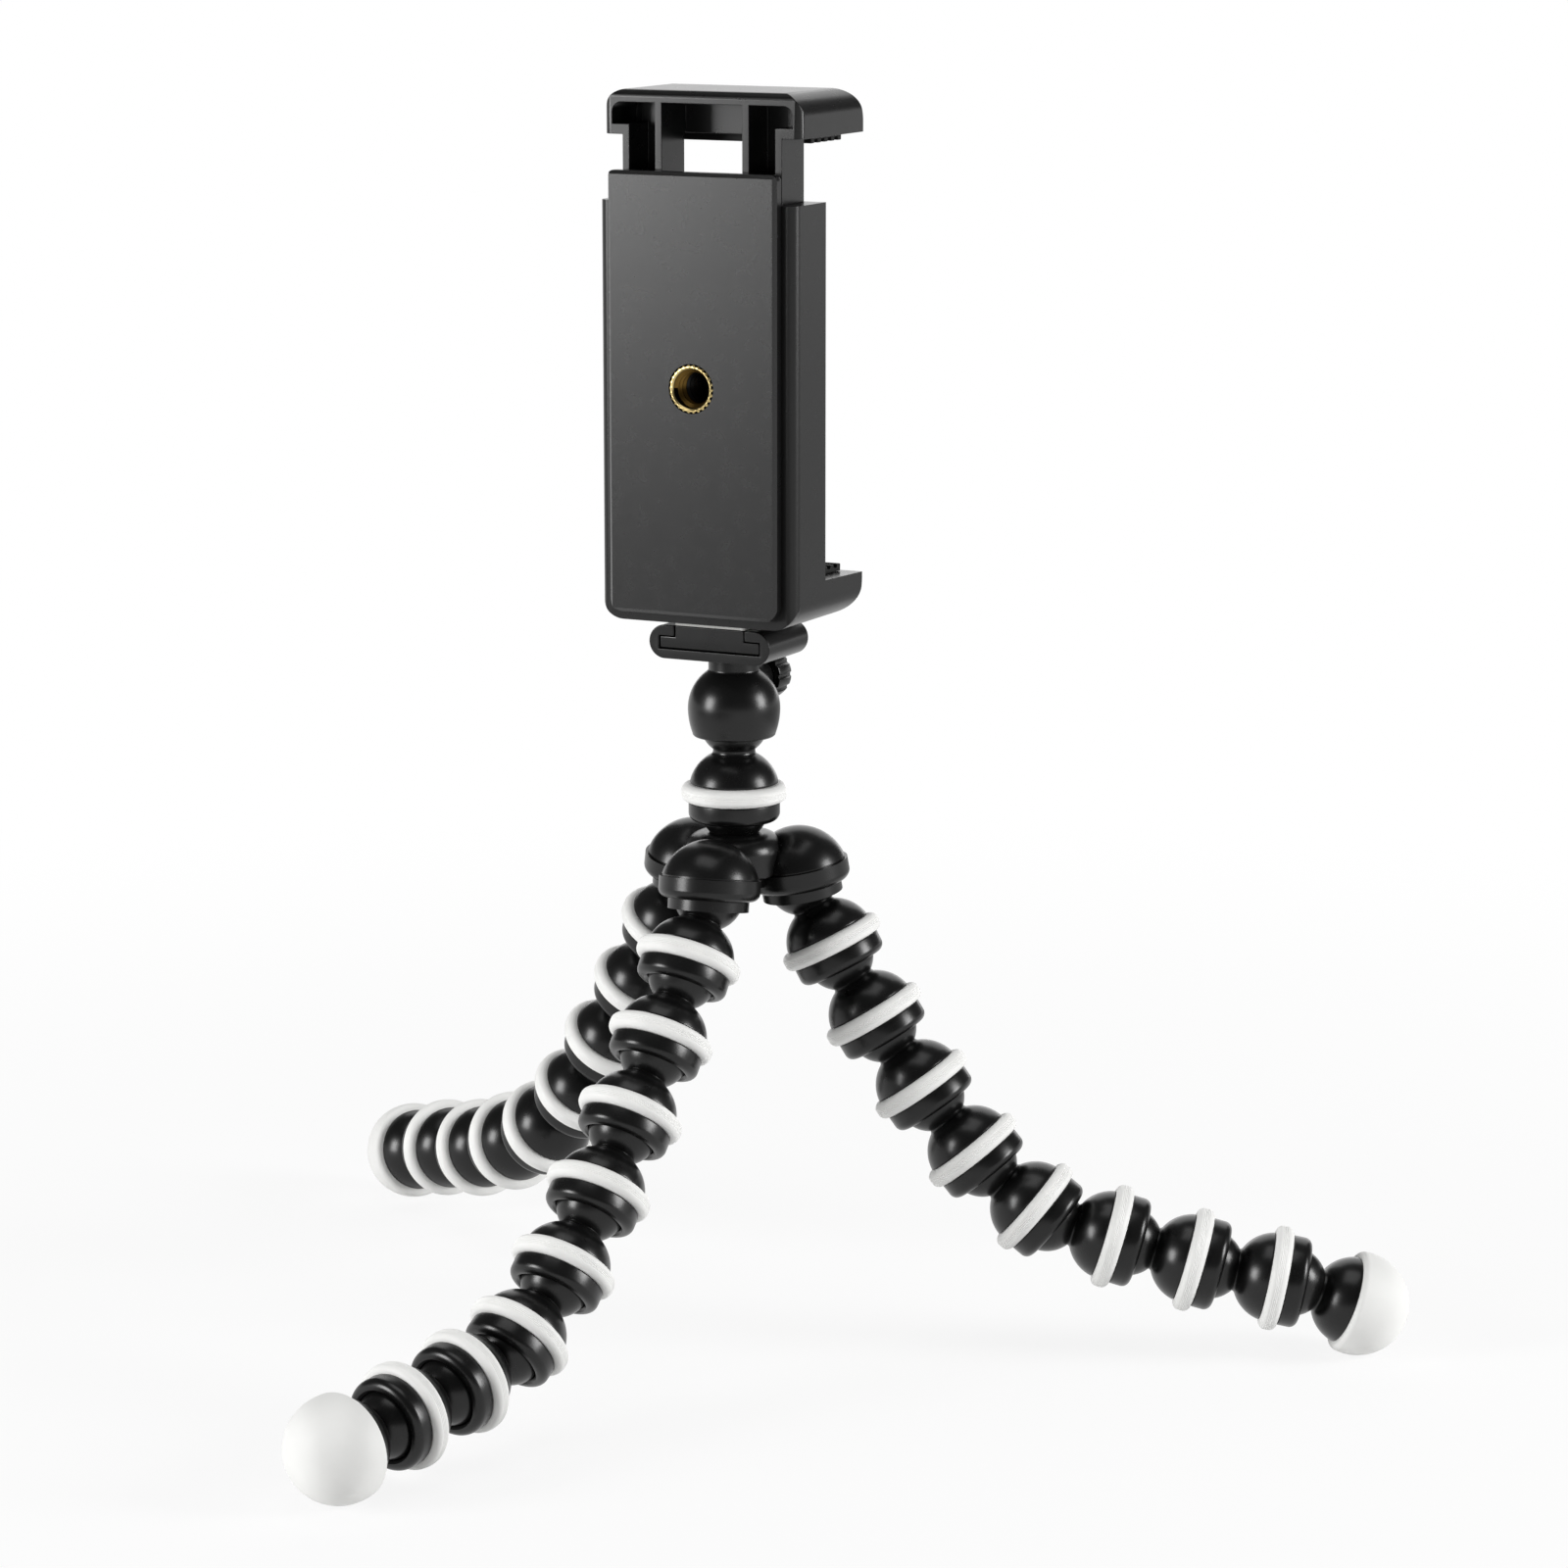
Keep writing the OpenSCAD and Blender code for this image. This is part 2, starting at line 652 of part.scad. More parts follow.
module hub_base() {
    color(black) difference() {
        union() {
            for (leg = legs) at_socket(leg) rotate_extrude() skirt_profile();
            difference() {
                union() {
                    translate([0, 0, web_end]) cylinder(r = web_r, h = socket_z + seam_lift - web_end);
                    translate([0, 0, hub_screw_end]) cylinder(r = screw_boss_r, h = hub_screw_head_t + past);
                }
                intersection() {
                    above_seam(0);
                    above_seam(1);
                    above_seam(2);
                }
                for (leg = legs) at_socket(leg)
                    translate([0, 0, -far / 2]) cylinder(r = lip_d / 2 - join, h = far);
            }
        }
        for (leg = legs) at_socket(leg) rotate_extrude() socket_profile(0, hub_mouth_drop);
        translate([0, 0, hub_screw_seat - far]) cylinder(d = hub_screw_head_d + 2 * ring_fit, h = far);
        translate([0, 0, hub_screw_seat]) cylinder(d = hub_screw_d + 2 * ring_fit, h = hub_screw_l);
    }
}

module hub_screw() {
    color(steel) difference() {
        union() {
            translate([0, 0, hub_screw_end]) cylinder(d = hub_screw_head_d, h = hub_screw_head_t);
            translate([0, 0, hub_screw_seat - join]) cylinder(d = hub_screw_d, h = hub_screw_l + join);
        }
        for (turn = [0, 90]) translate([0, 0, hub_screw_end]) rotate(turn)
            cube([0.6 * hub_screw_head_d, 0.14 * hub_screw_head_d, hub_screw_head_t], center = true);
    }
}

// Neck and head
module at_neck() {
    along([0, 0, head_ball_z], 0, 0) children();
}

module neck_segment() {
    color(black) at_neck() segment_shell(neck_pitch);
}

module neck_ring() {
    color(white) at_neck() grip_ring(neck_pitch);
}

module head_profile() {
    flank = head_r - head_flank;
    rim_r = flank + sqrt(pow(head_flank, 2) - pow(head_z - head_rim, 2));
    intersection() {
        translate([0, head_z]) half_disc(head_r);
        translate([0, head_z - join]) square([head_r, head_r + join]);
    }
    difference() {
        intersection() {
            translate([flank, head_z]) circle(head_flank);
            translate([0, head_rim]) square([head_r, head_z - head_rim]);
        }
        translate([rim_r, head_rim]) rotate(45) square(head_bevel * sqrt(2), center = true);
    }
    translate([0, head_z]) square([stem_d / 2, stem_rise]);
}

module head_housing() {
    color(black) difference() {
        union() {
            rotate_extrude() head_profile();
            rod_y(0, lock_z, lock_boss_d / 2, 0, lock_boss_reach);
        }
        along([0, 0, head_ball_z], 0, 0) rotate_extrude() socket_profile(0, head_mouth_drop, head_flare);
        rod_y(0, lock_z, lock_screw_r + ring_fit, 0, lock_boss_reach + past);
        translate([0, 0, shoe_z - stem_rise / 2]) cylinder(d = shoe_screw_d + 2 * ring_fit, h = stem_rise);
    }
}

module lock_screw() {
    color(steel) rod_y(0, lock_z, lock_screw_r, lock_tip, knob_start + knob_t / 2);
}

module lock_knob() {
    color(black) translate([0, knob_start, lock_z]) rotate([-90, 0, 0]) difference() {
        rotate_extrude() intersection() {
            square([knob_d / 2, knob_t]);
            translate([-knob_d / 2, knob_t / 2]) circle(knob_d);
        }
        for (i = [0 : knob_flutes - 1]) rotate(i * 360 / knob_flutes)
            translate([knob_d / 2, 0, -past]) cylinder(r = flute_r, h = knob_t + 2 * past);
        translate([0, 0, -past]) cylinder(r = lock_screw_r + ring_fit, h = knob_t / 2 + ring_fit + past);
    }
}

// Quick-release shoe and plate
module shoe_base() {
    color(black) difference() {
        push_y(shoe_front, shoe_back) translate([0, shoe_z]) rounded_rect(shoe_w, shoe_h, shoe_h / 2 - join);
        push_y(shoe_front - past, shoe_back - shoe_stop) translate([0, floor_z]) {
            translate([-flange_w / 2 - slide_gap, 0])
                square([flange_w + 2 * slide_gap, flange_t + 2 * slide_gap]);
            translate([-tongue_w / 2 - slide_gap, 0]) square([tongue_w + 2 * slide_gap, shoe_h]);
        }
        translate([0, 0, shoe_z - past])
            cylinder(d = shoe_screw_d + 2 * ring_fit, h = shoe_floor + 2 * past);
        translate([0, 0, floor_z - (shoe_screw_head_d - shoe_screw_d) / 2])
            cylinder(d1 = shoe_screw_d + 2 * ring_fit, d2 = shoe_screw_head_d + 2 * ring_fit + 2 * join,
                     h = (shoe_screw_head_d - shoe_screw_d) / 2 + join);
    }
}

module shoe_screw() {
    head_t = (shoe_screw_head_d - shoe_screw_d) / 2;
    tip_z = lock_z + lock_screw_r + 0.4;
    color(steel) difference() {
        union() {
            translate([0, 0, floor_z - head_t])
                cylinder(d1 = shoe_screw_d, d2 = shoe_screw_head_d, h = head_t);
            translate([0, 0, tip_z]) cylinder(d = shoe_screw_d, h = floor_z - head_t - tip_z + join);
        }
        for (turn = [0, 90]) translate([0, 0, floor_z]) rotate(turn)
            cube([0.6 * shoe_screw_head_d, 0.14 * shoe_screw_head_d, head_t], center = true);
    }
}

module shoe_plate() {
    color(grey) difference() {
        push_y(plate_front, plate_back) {
            translate([-flange_w / 2, plate_z]) square([flange_w, flange_t]);
            translate([-tongue_w / 2, plate_z]) square([tongue_w, plate_top - plate_z]);
        }
        translate([0, shoe_offset, plate_z - past]) cylinder(d = screw_hole_d, h = plate_h + 2 * past);
        translate([0, shoe_offset, plate_z - past])
            cylinder(d = plate_screw_head_d + 2 * slide_gap,
                     h = past + plate_screw_z - plate_z + plate_screw_head_t + turn_gap);
    }
}

module plate_pad() {
    color(pale) difference() {
        push_y(plate_front, plate_back) translate([-tongue_w / 2, plate_top]) square([tongue_w, pad_t]);
        translate([0, shoe_offset, plate_top - past]) cylinder(d = screw_hole_d, h = pad_t + 2 * past);
    }
}

module plate_screw() {
    color(steel) translate([0, shoe_offset, 0]) difference() {
        union() {
            translate([0, 0, plate_screw_z]) cylinder(d = plate_screw_head_d, h = plate_screw_head_t);
            translate([0, 0, plate_screw_z])
                cylinder(d = thread_root_d, h = body_z + bottom_insert_l - 1 - plate_screw_z);
        }
        translate([0, 0, plate_screw_z])
            cube([plate_screw_head_d + past, 1.2, plate_screw_head_t], center = true);
    }
}

// Clamp
module body_side() {
    translate([joint_y, body_z]) square([body_t, body_h]);
    difference() {
        union() {
            translate([grip_y - join, body_z]) square([jaw_reach - jaw_round + join, lower_jaw_t]);
            translate([grip_y - join, body_z + jaw_round])
                square([jaw_reach + join, lower_jaw_t - jaw_round]);
            translate([jaw_tip_y - jaw_round, body_z + jaw_round]) intersection() {
                circle(jaw_round);
                translate([0, -jaw_round]) square([jaw_round, jaw_round + join]);
            }
        }
        polygon([[grip_y, lower_jaw_top], [jaw_tip_y + past, lower_jaw_top],
                 [jaw_tip_y + past, lower_jaw_top - jaw_taper * (jaw_reach + past) / jaw_reach]]);
    }
}

// Front outline of the body, square at the top and rounded below
module body_front() {
    translate([0, body_z + body_h]) mirror([0, 1]) round_top(clamp_w, body_h, body_corner);
}

module clamp_body() {
    color(black) difference() {
        intersection() {
            push_x(-clamp_w / 2, clamp_w / 2) body_side();
            push_y(joint_y, jaw_tip_y) body_front();
        }
        difference() {
            translate([-cavity_w / 2, joint_y - past, cavity_z])
                cube([cavity_w, wall_y - joint_y + past, body_h]);
            for (x = [-1, 1]) translate([x * ear_x - ear_t / 2, joint_y, cavity_z - past])
                cube([ear_t, channel_t, pin_height + 2 * pin_r + past]);
            translate([-insert_d / 2 - past, joint_y, cavity_z - past])
                cube([insert_d + 2 * past, body_t, bottom_insert_l - body_floor + 2 * past]);
        }
        for (x = [-1, 1], z = cover_screw_heights) {
            rod_y(x * cover_screw_x, body_z + z, cover_screw_d / 2 + ring_fit, joint_y - past, grip_y);
            rod_y(x * cover_screw_x, body_z + z, cover_screw_head_d / 2 + ring_fit,
                  grip_y - cover_screw_head_t - ring_fit, grip_y + past);
        }
        for (x = [0, 1]) mirror([x, 0, 0]) rod_x(spring_y, pin_z, pin_r + ring_fit, pin_from, pin_to);
        translate([0, shoe_offset, body_z - past])
            cylinder(d = insert_d + 2 * ring_fit, h = bottom_insert_l + past);
    }
}

// Front outline of the panel, with its lower corners rounder than its upper ones
module panel_outline() {
    intersection() {
        rounded_rect(panel_w, panel_h, panel_corner);
        translate([0, panel_h]) mirror([0, 1]) round_top(panel_w, panel_h, panel_foot);
    }
}

// The cover's panel, bevelled on all four sides, standing on a rounded shoulder
module cover_shape() {
    intersection() {
        push_y(joint_y - shoulder_rise, joint_y) body_front();
        translate([0, joint_y, body_z]) rotate([0, 0, 180])
            linear_extrude(body_h) round_top(clamp_w, shoulder_rise, shoulder_round);
    }
    intersection() {
        push_y(joint_y - panel_rise, joint_y - shoulder_rise + join)
            translate([0, panel_z]) panel_outline();
        translate([0, joint_y, panel_z]) rotate([0, 0, 180])
            linear_extrude(panel_h) bevel_top(panel_w, panel_rise, panel_bevel);
        push_x(-panel_w / 2, panel_w / 2) translate([joint_y, panel_z + panel_h / 2]) rotate(90)
            bevel_top(panel_h, panel_rise, panel_bevel);
    }
}

module clamp_cover() {
    boss_end = wall_y - slide_leg_gap;
    color(grey) difference() {
        union() {
            cover_shape();
            rod_y(0, insert_z, insert_boss_d / 2, joint_y - join, boss_end);
        }
        rod_y(0, insert_z, insert_d / 2 + ring_fit, joint_y - panel_rise - past,
              joint_y - panel_rise + front_insert_l + ring_fit);
        for (x = [-1, 1], z = cover_screw_heights)
            rod_y(x * cover_screw_x, body_z + z, cover_screw_d / 2 + ring_fit,
                  joint_y - 0.7 * shoulder_rise, joint_y + past);
    }
}

module cover_screws() {
    color(steel) for (x = [-1, 1], z = cover_screw_heights) difference() {
        union() {
            rod_y(x * cover_screw_x, body_z + z, cover_screw_d / 2,
                  joint_y - 0.6 * shoulder_rise, grip_y - cover_screw_head_t + join);
            rod_y(x * cover_screw_x, body_z + z, cover_screw_head_d / 2,
                  grip_y - cover_screw_head_t, grip_y - ring_fit);
        }
        for (turn = [0, 90]) translate([x * cover_screw_x, grip_y, body_z + z]) rotate([0, turn, 0])
            cube([0.6 * cover_screw_head_d, cover_screw_head_t, 0.16 * cover_screw_head_d], center = true);
    }
}

module threaded_insert(l) {
    difference() {
        cylinder(d = insert_d, h = l);
        translate([0, 0, -past]) cylinder(r = thread_r, h = l + 2 * past);
        translate([0, 0, -join])
            cylinder(r1 = thread_r + insert_bevel + join, r2 = thread_r, h = insert_bevel + join);
    }
}

module front_insert() {
    color(brass) translate([0, joint_y - panel_rise, insert_z]) rotate([-90, 0, 0])
        threaded_insert(front_insert_l);
}

module bottom_insert() {
    color(brass) translate([0, shoe_offset, body_z]) threaded_insert(bottom_insert_l - ring_fit);
}

// A ribbed pad whose ribs run across the gripped object
module jaw_pad(depth) {
    rib = depth / (2 * pad_ribs - 1);
    translate([-jaw_pad_w / 2, 0, 0]) cube([jaw_pad_w, depth, jaw_pad_t / 2]);
    for (i = [0 : pad_ribs - 1]) translate([-jaw_pad_w / 2, 2 * i * rib, 0])
        cube([jaw_pad_w, rib, jaw_pad_t]);
}

module lower_jaw_pad() {
    slope = atan2(jaw_taper, jaw_reach);
    depth = 0.8 * jaw_reach;
    color(black) translate([0, grip_y, lower_jaw_top]) rotate([-slope, 0, 0])
        translate([0, 0.1 * jaw_reach, turn_gap]) jaw_pad(depth);
}

// One extension spring: a coil of even turns with an eye at each end
spring_sides = 6;
turn_steps = 8;
function coil_point(t) =
    [spring_mid_r * cos(360 * t), spring_mid_r * sin(360 * t), coil_start + wire_r + t * coil_rise];
spring_mid_r = spring_r - wire_r;
coil_rise = (coil_end - coil_start - 2 * wire_r) / spring_turns;
function coil_ring(t) =
    let (p = coil_point(t), out = [cos(360 * t), sin(360 * t), 0])
    [for (s = [0 : spring_sides - 1]) p + wire_r * (cos(360 * s / spring_sides) * out
        + sin(360 * s / spring_sides) * [0, 0, 1])];
coil_count = spring_turns * turn_steps;

// Least gap of a spring's wire to itself, from points half a turn apart or more
coil_spans = [for (a = [0 : coil_count]) for (b = [a + turn_steps / 2 : 1 : coil_count])
    norm(coil_point(b / turn_steps) - coil_point(a / turn_steps))];
coil_least_gap = min(coil_spans) - wire_d;
echo(coil_least_gap = coil_least_gap);

coil_points = [for (n = [0 : coil_count]) for (p = coil_ring(n / turn_steps)) p];
function coil_corner(n, s) = n * spring_sides + s % spring_sides;
coil_faces = concat(
    [for (n = [0 : coil_count - 1]) for (s = [0 : spring_sides - 1])
        [coil_corner(n, s), coil_corner(n, s + 1), coil_corner(n + 1, s)]],
    [for (n = [0 : coil_count - 1]) for (s = [0 : spring_sides - 1])
        [coil_corner(n, s + 1), coil_corner(n + 1, s + 1), coil_corner(n + 1, s)]],
    [[for (s = [spring_sides - 1 : -1 : 0]) coil_corner(0, s)]],
    [[for (s = [0 : spring_sides - 1]) coil_corner(coil_count, s)]]
);

module spring_eye(z) {
    translate([0, 0, z]) rotate([0, 90, 0]) rotate_extrude() translate([eye_r, 0]) circle(wire_r);
}

module jaw_springs() {
    color(steel) for (x = [-1, 1]) translate([x * slide_x, spring_y, 0]) {
        polyhedron(points = coil_points, faces = coil_faces);
        for (z = [pin_z, bar_z]) spring_eye(z);
        for (z = [coil_start, coil_end])
            rod_x(0, z, 0.9 * wire_r, -wire_r / 2, spring_mid_r + wire_r / 2);
    }
}

module spring_pins() {
    color(steel) for (x = [0, 1]) mirror([x, 0, 0])
        rod_x(spring_y, pin_z, pin_r, pin_from, pin_to - ring_fit);
}

// Sprung jaw
module cap_side(low) {
    front = jaw_front;
    difference() {
        union() {
            translate([front, low]) square([jaw_tip_y - front, cap_top_z - jaw_round - low]);
            translate([front + cap_edge, low])
                square([jaw_tip_y - jaw_round - front - cap_edge, cap_top_z - low]);
            translate([front, low]) square([cap_edge, cap_top_z - cap_edge - low]);
            translate([front + cap_edge, cap_top_z - cap_edge]) circle(cap_edge);
            translate([jaw_tip_y - jaw_round, cap_top_z - jaw_round]) circle(jaw_round);
        }
        translate([front - past, low - far]) square([jaw_tip_y - front + 2 * past, far]);
    }
}

module upper_jaw() {
    color(black) {
        intersection() {
            difference() {
                push_x(-clamp_w / 2, clamp_w / 2) cap_side(jaw_z);
                push_y(jaw_front - past, grip_front) translate([0, jaw_z - past])
                    round_top(hollow_w, ceiling_z - jaw_z + past, cap_inner);
            }
            push_y(jaw_front, jaw_tip_y) translate([0, jaw_z]) round_top(clamp_w, cap_h, cap_corner);
            translate([0, jaw_tip_y, jaw_z]) rotate([0, 0, 180])
                linear_extrude(cap_h) round_top(clamp_w, jaw_tip_y - jaw_front, cap_edge);
        }
        for (x = [-1, 1]) difference() {
            translate([x * slide_x - slide_leg_w / 2, jaw_front, slide_end_z])
                cube([slide_leg_w, slide_leg_t, ceiling_z - slide_end_z + join]);
            translate([x * slide_x - channel_w / 2, jaw_front - past, slide_end_z - past])
                cube([channel_w, channel_t + past, ceiling_z - slide_end_z + past]);
            translate([x * slide_x + (x - 1) * slide_leg_w / 2, jaw_front - past, jaw_z + stop_tab])
                cube([slide_leg_w, channel_t + past, ceiling_z - jaw_z - stop_tab]);
        }
        for (x = [0, 1]) mirror([x, 0, 0]) {
            translate([slide_x - slide_leg_w / 2, slide_back_y - join, jaw_z])
                cube([slide_leg_w, grip_front - slide_back_y + 2 * join, ceiling_z - jaw_z + join]);
            translate([slide_w / 2 - join, jaw_front, jaw_z])
                cube([(hollow_w - slide_w) / 2 + 2 * join, stop_tab, stop_tab]);
        }
        for (x = [-slide_x, slide_x])
            rod_x(spring_y, bar_z, pin_r, x - channel_w / 2 - join, x + channel_w / 2 + join);
    }
}

module upper_jaw_pad() {
    color(black) translate([0, grip_y + 0.1 * jaw_reach, jaw_z - turn_gap]) mirror([0, 0, 1])
        jaw_pad(0.8 * jaw_reach);
}

hub_cover();
hub_base();
hub_screw();
neck_segment();
neck_ring();
head_housing();
lock_knob();
lock_screw();
shoe_base();
shoe_screw();
shoe_plate();
plate_pad();
plate_screw();
clamp_body();
clamp_cover();
cover_screws();
front_insert();
bottom_insert();
lower_jaw_pad();
jaw_springs();
spring_pins();
upper_jaw();
upper_jaw_pad();
for (leg = legs, i = links) leg_segment(leg, i);
for (leg = legs) foot_stud(leg);
for (leg = legs) foot_cap(leg);
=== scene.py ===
"""Looks of the flexible leg tripod, dressed over its solids."""
import json
import math

import bmesh
import bpy
from mathutils import Matrix, Vector


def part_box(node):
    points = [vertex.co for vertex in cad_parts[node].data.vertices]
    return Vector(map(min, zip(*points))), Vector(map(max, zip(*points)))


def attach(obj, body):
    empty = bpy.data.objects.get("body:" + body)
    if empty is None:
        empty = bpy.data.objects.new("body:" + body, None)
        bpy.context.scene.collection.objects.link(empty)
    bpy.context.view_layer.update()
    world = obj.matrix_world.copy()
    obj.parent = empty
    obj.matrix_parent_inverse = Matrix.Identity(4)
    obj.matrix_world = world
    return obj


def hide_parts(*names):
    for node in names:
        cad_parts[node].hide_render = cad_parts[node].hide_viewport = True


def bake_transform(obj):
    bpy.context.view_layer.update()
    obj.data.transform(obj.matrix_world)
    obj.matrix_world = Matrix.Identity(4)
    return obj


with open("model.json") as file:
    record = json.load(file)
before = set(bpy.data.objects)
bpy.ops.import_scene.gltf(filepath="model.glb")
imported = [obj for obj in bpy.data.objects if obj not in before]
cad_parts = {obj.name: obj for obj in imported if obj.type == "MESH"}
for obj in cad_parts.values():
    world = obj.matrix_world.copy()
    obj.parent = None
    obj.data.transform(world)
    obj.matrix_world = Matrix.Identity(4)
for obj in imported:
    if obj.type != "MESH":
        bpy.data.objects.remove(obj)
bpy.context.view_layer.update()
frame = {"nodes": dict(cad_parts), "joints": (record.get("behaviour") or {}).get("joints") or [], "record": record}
NODES = frame["nodes"]
JOINTS = {joint["name"]: joint for joint in frame["joints"]}
SCENE = bpy.context.scene
MM = 0.001
# Steps of a full turn, and the distance in metres under which points are merged
ROUND_STEPS = 96
MERGE = 1e-6

# Leg sizes in mm, as in the solids
PITCH = 13.6
NECK_PITCH = 14.0
BALL_R = 5.6
SOCKET_R = 5.75
NECK_R = 3.4
FILLET = 0.7
DOME_R = 7.25
DOME_ROUND = 6.6
DOME_DROP = 1.2
COLLAR_R = 7.35
COLLAR_ROUND = 1.3
MOUTH_DROP = 2.1
MOUTH_FLARE = 0.4
RING_TO_SOCKET = 2.55
RING_R = 8.5
RING_H = 2.9
RING_ROUND = 1.2
GROOVE_R = 6.7
RING_FIT = 0.05
FOOT_R = 8.4
FOOT_REACH = 11.5
PEG_R = 4.2
PEG_L = 5.0
PEG_FIT = 0.05
LEG_NAMES = ("right", "front", "rear")
LEG_LINKS = 8
# Trim in mm that the solids leave out: rounded edges, and a few fine lines round each ring
EDGE = 0.2
CAP_ROUND = 0.9
RING_LINES = 4
LINE_POINTS = 4
LINE_DEPTH = 0.07
LINE_BAND = 1.1


# Finishes
def linear(hex_code):
    """Linear colour of an sRGB hex value."""
    out = []
    for k in (0, 2, 4):
        c = int(hex_code[k:k + 2], 16) / 255
        out.append(c / 12.92 if c <= 0.04045 else ((c + 0.055) / 1.055) ** 2.4)
    return (*out, 1.0)


def add(tree, kind, settings=None, inputs=None, links=None):
    """Adds a node, sets its properties and socket values, and links other sockets into it."""
    made = tree.nodes.new(kind)
    for key, value in (settings or {}).items():
        setattr(made, key, value)
    for key, value in (inputs or {}).items():
        made.inputs[key].default_value = value
    for key, source in (links or {}).items():
        tree.links.new(source, made.inputs[key])
    return made


def per_metre(size_mm):
    """Noise scale whose features are about size_mm across."""
    return 1000 / size_mm


# How far the gloss wanders either way
GLOSS_SPREAD = 0.02
# The real grain of a mould is finer than a pixel, so every grain below is drawn coarser, to show
GRAIN_STRENGTH = 0.2


def finish_of(name, dark, light, rough, sizes, depth, specular=0.5, metallic=0.0):
    """Principled finish: cloudy colour, uneven gloss and a grain of that depth, at three sizes in mm."""
    material = bpy.data.materials.new(name)
    material.use_nodes = True
    tree = material.node_tree
    shader = tree.nodes["Principled BSDF"]
    shader.inputs["Specular IOR Level"].default_value = specular
    shader.inputs["Metallic"].default_value = metallic
    at = add(tree, "ShaderNodeTexCoord").outputs["Object"]
    cloud, gloss, grain = [
        add(tree, "ShaderNodeTexNoise", inputs={"Scale": per_metre(size), "Detail": 3},
            links={"Vector": at})
        for size in sizes]
    tint = add(tree, "ShaderNodeMix", {"data_type": "RGBA"}, {6: linear(dark), 7: linear(light)},
               {0: cloud.outputs["Fac"]})
    even = add(tree, "ShaderNodeMapRange",
               inputs={"To Min": rough - GLOSS_SPREAD, "To Max": rough + GLOSS_SPREAD},
               links={"Value": gloss.outputs["Fac"]})
    relief = add(tree, "ShaderNodeBump", inputs={"Strength": GRAIN_STRENGTH, "Distance": depth * MM},
                 links={"Height": grain.outputs["Fac"]})
    tree.links.new(tint.outputs[2], shader.inputs["Base Color"])
    tree.links.new(even.outputs["Result"], shader.inputs["Roughness"])
    tree.links.new(relief.outputs["Normal"], shader.inputs["Normal"])
    return material


# Injection moulded ABS from a polished mould: deep black with soft, slightly uneven highlights
BLACK = finish_of("black_abs", "090909", "101010",
                  rough=0.28, sizes=(7, 2.4, 0.4), depth=0.008, specular=0.38)
# The same ABS from a spark-eroded mould: a charcoal face with a fine grain and a long soft sheen
PANEL = finish_of("grained_abs", "131313", "181818",
                  rough=0.27, sizes=(8, 2.4, 0.35), depth=0.015)
# Moulded silicone, white through and through: a soft matte skin with no clear reflections
RING_WHITE = finish_of("white_silicone", "e6e6e4", "f0f0ee",
                       rough=0.5, sizes=(6, 2, 0.4), depth=0.04, specular=0.35)
# Moulded rubber, white and a little duller than the rings
FOOT_WHITE = finish_of("white_rubber", "e2e2e0", "ececea",
                       rough=0.55, sizes=(6, 2, 0.4), depth=0.05, specular=0.3)
# Turned brass: pale gold with bright edges
BRASS = finish_of("turned_brass", "b59c63", "dac993",
                  rough=0.28, sizes=(3, 1, 0.3), depth=0.02, metallic=1.0)
# The same brass darkened to a brown gold for the bore: painted shade, standing in for the shadow inside it
BORE_SHADE_BRASS = finish_of("brass_painted_shade", "4d3a19", "7d6231",
                       rough=0.34, sizes=(3, 1, 0.3), depth=0.02, metallic=1.0)
# Zinc plated steel: a bright grey with a slight cloudiness
STEEL = finish_of("plated_steel", "8c9093", "a8acaf",
                  rough=0.3, sizes=(3, 1, 0.3), depth=0.02, metallic=1.0)
# Moulded black silicone: dull, with a soft grain that grips
PAD_BLACK = finish_of("pad_silicone", "101010", "181818",
                      rough=0.62, sizes=(5, 2, 0.4), depth=0.08, specular=0.3)
# Cut foam rubber, dull and slightly open in its pores; its pale grey is partly the pad's own tone and partly a
# painted highlight, for the bright strip between plate and clamp
PAD_PALE_AND_HIGHLIGHT = finish_of("pale_foam_and_painted_highlight", "bdbdba", "cbcbc8",
                     rough=0.68, sizes=(4, 1.5, 0.5), depth=0.1, specular=0.25)


# Meshes
def arc(cx, cz, r, start, end, count):
    """Points of an arc about (cx, cz), between two angles in degrees."""
    out = []
    for k in range(count + 1):
        a = math.radians(start + (end - start) * k / count)
        out.append((cx + r * math.cos(a), cz + r * math.sin(a)))
    return out


def smooth_mesh(bm, name, angle=32):
    """Mesh of a finished bmesh, smooth except at edges sharper than angle."""
    mesh = bpy.data.meshes.new(name)
    bm.to_mesh(mesh)
    bm.free()
    for face in mesh.polygons:
        face.use_smooth = True
    mesh.set_sharp_from_angle(angle=math.radians(angle))
    return mesh


def spin_profile(bm, profile, steps, turn=360, rise=0, loop=False):
    """Spins a profile of (radius, height) points in mm about Z; rise in mm winds it into a screw."""
    verts = [bm.verts.new((r * MM, 0, z * MM)) for r, z in profile]
    ends = verts[1:] + verts[:1] if loop else verts[1:]
    edges = [bm.edges.new(pair) for pair in zip(verts, ends)]
    bmesh.ops.spin(bm, geom=verts + edges, cent=(0, 0, 0), axis=(0, 0, 1), dvec=(0, 0, rise / steps * MM),
                   angle=math.radians(turn), steps=steps, use_merge=rise == 0, use_duplicate=False)


def turned(name, profile, steps=ROUND_STEPS, loop=False):
    """Mesh of a turned piece."""
    bm = bmesh.new()
    spin_profile(bm, profile, steps, loop=loop)
    bmesh.ops.remove_doubles(bm, verts=bm.verts, dist=MERGE)
    bmesh.ops.recalc_face_normals(bm, faces=bm.faces)
    return smooth_mesh(bm, name)


def along(point, aim):
    """Place of a mesh whose own +Z goes along aim from point."""
    return Matrix.Translation(point) @ aim.to_track_quat("Z", "Y").to_matrix().to_4x4()


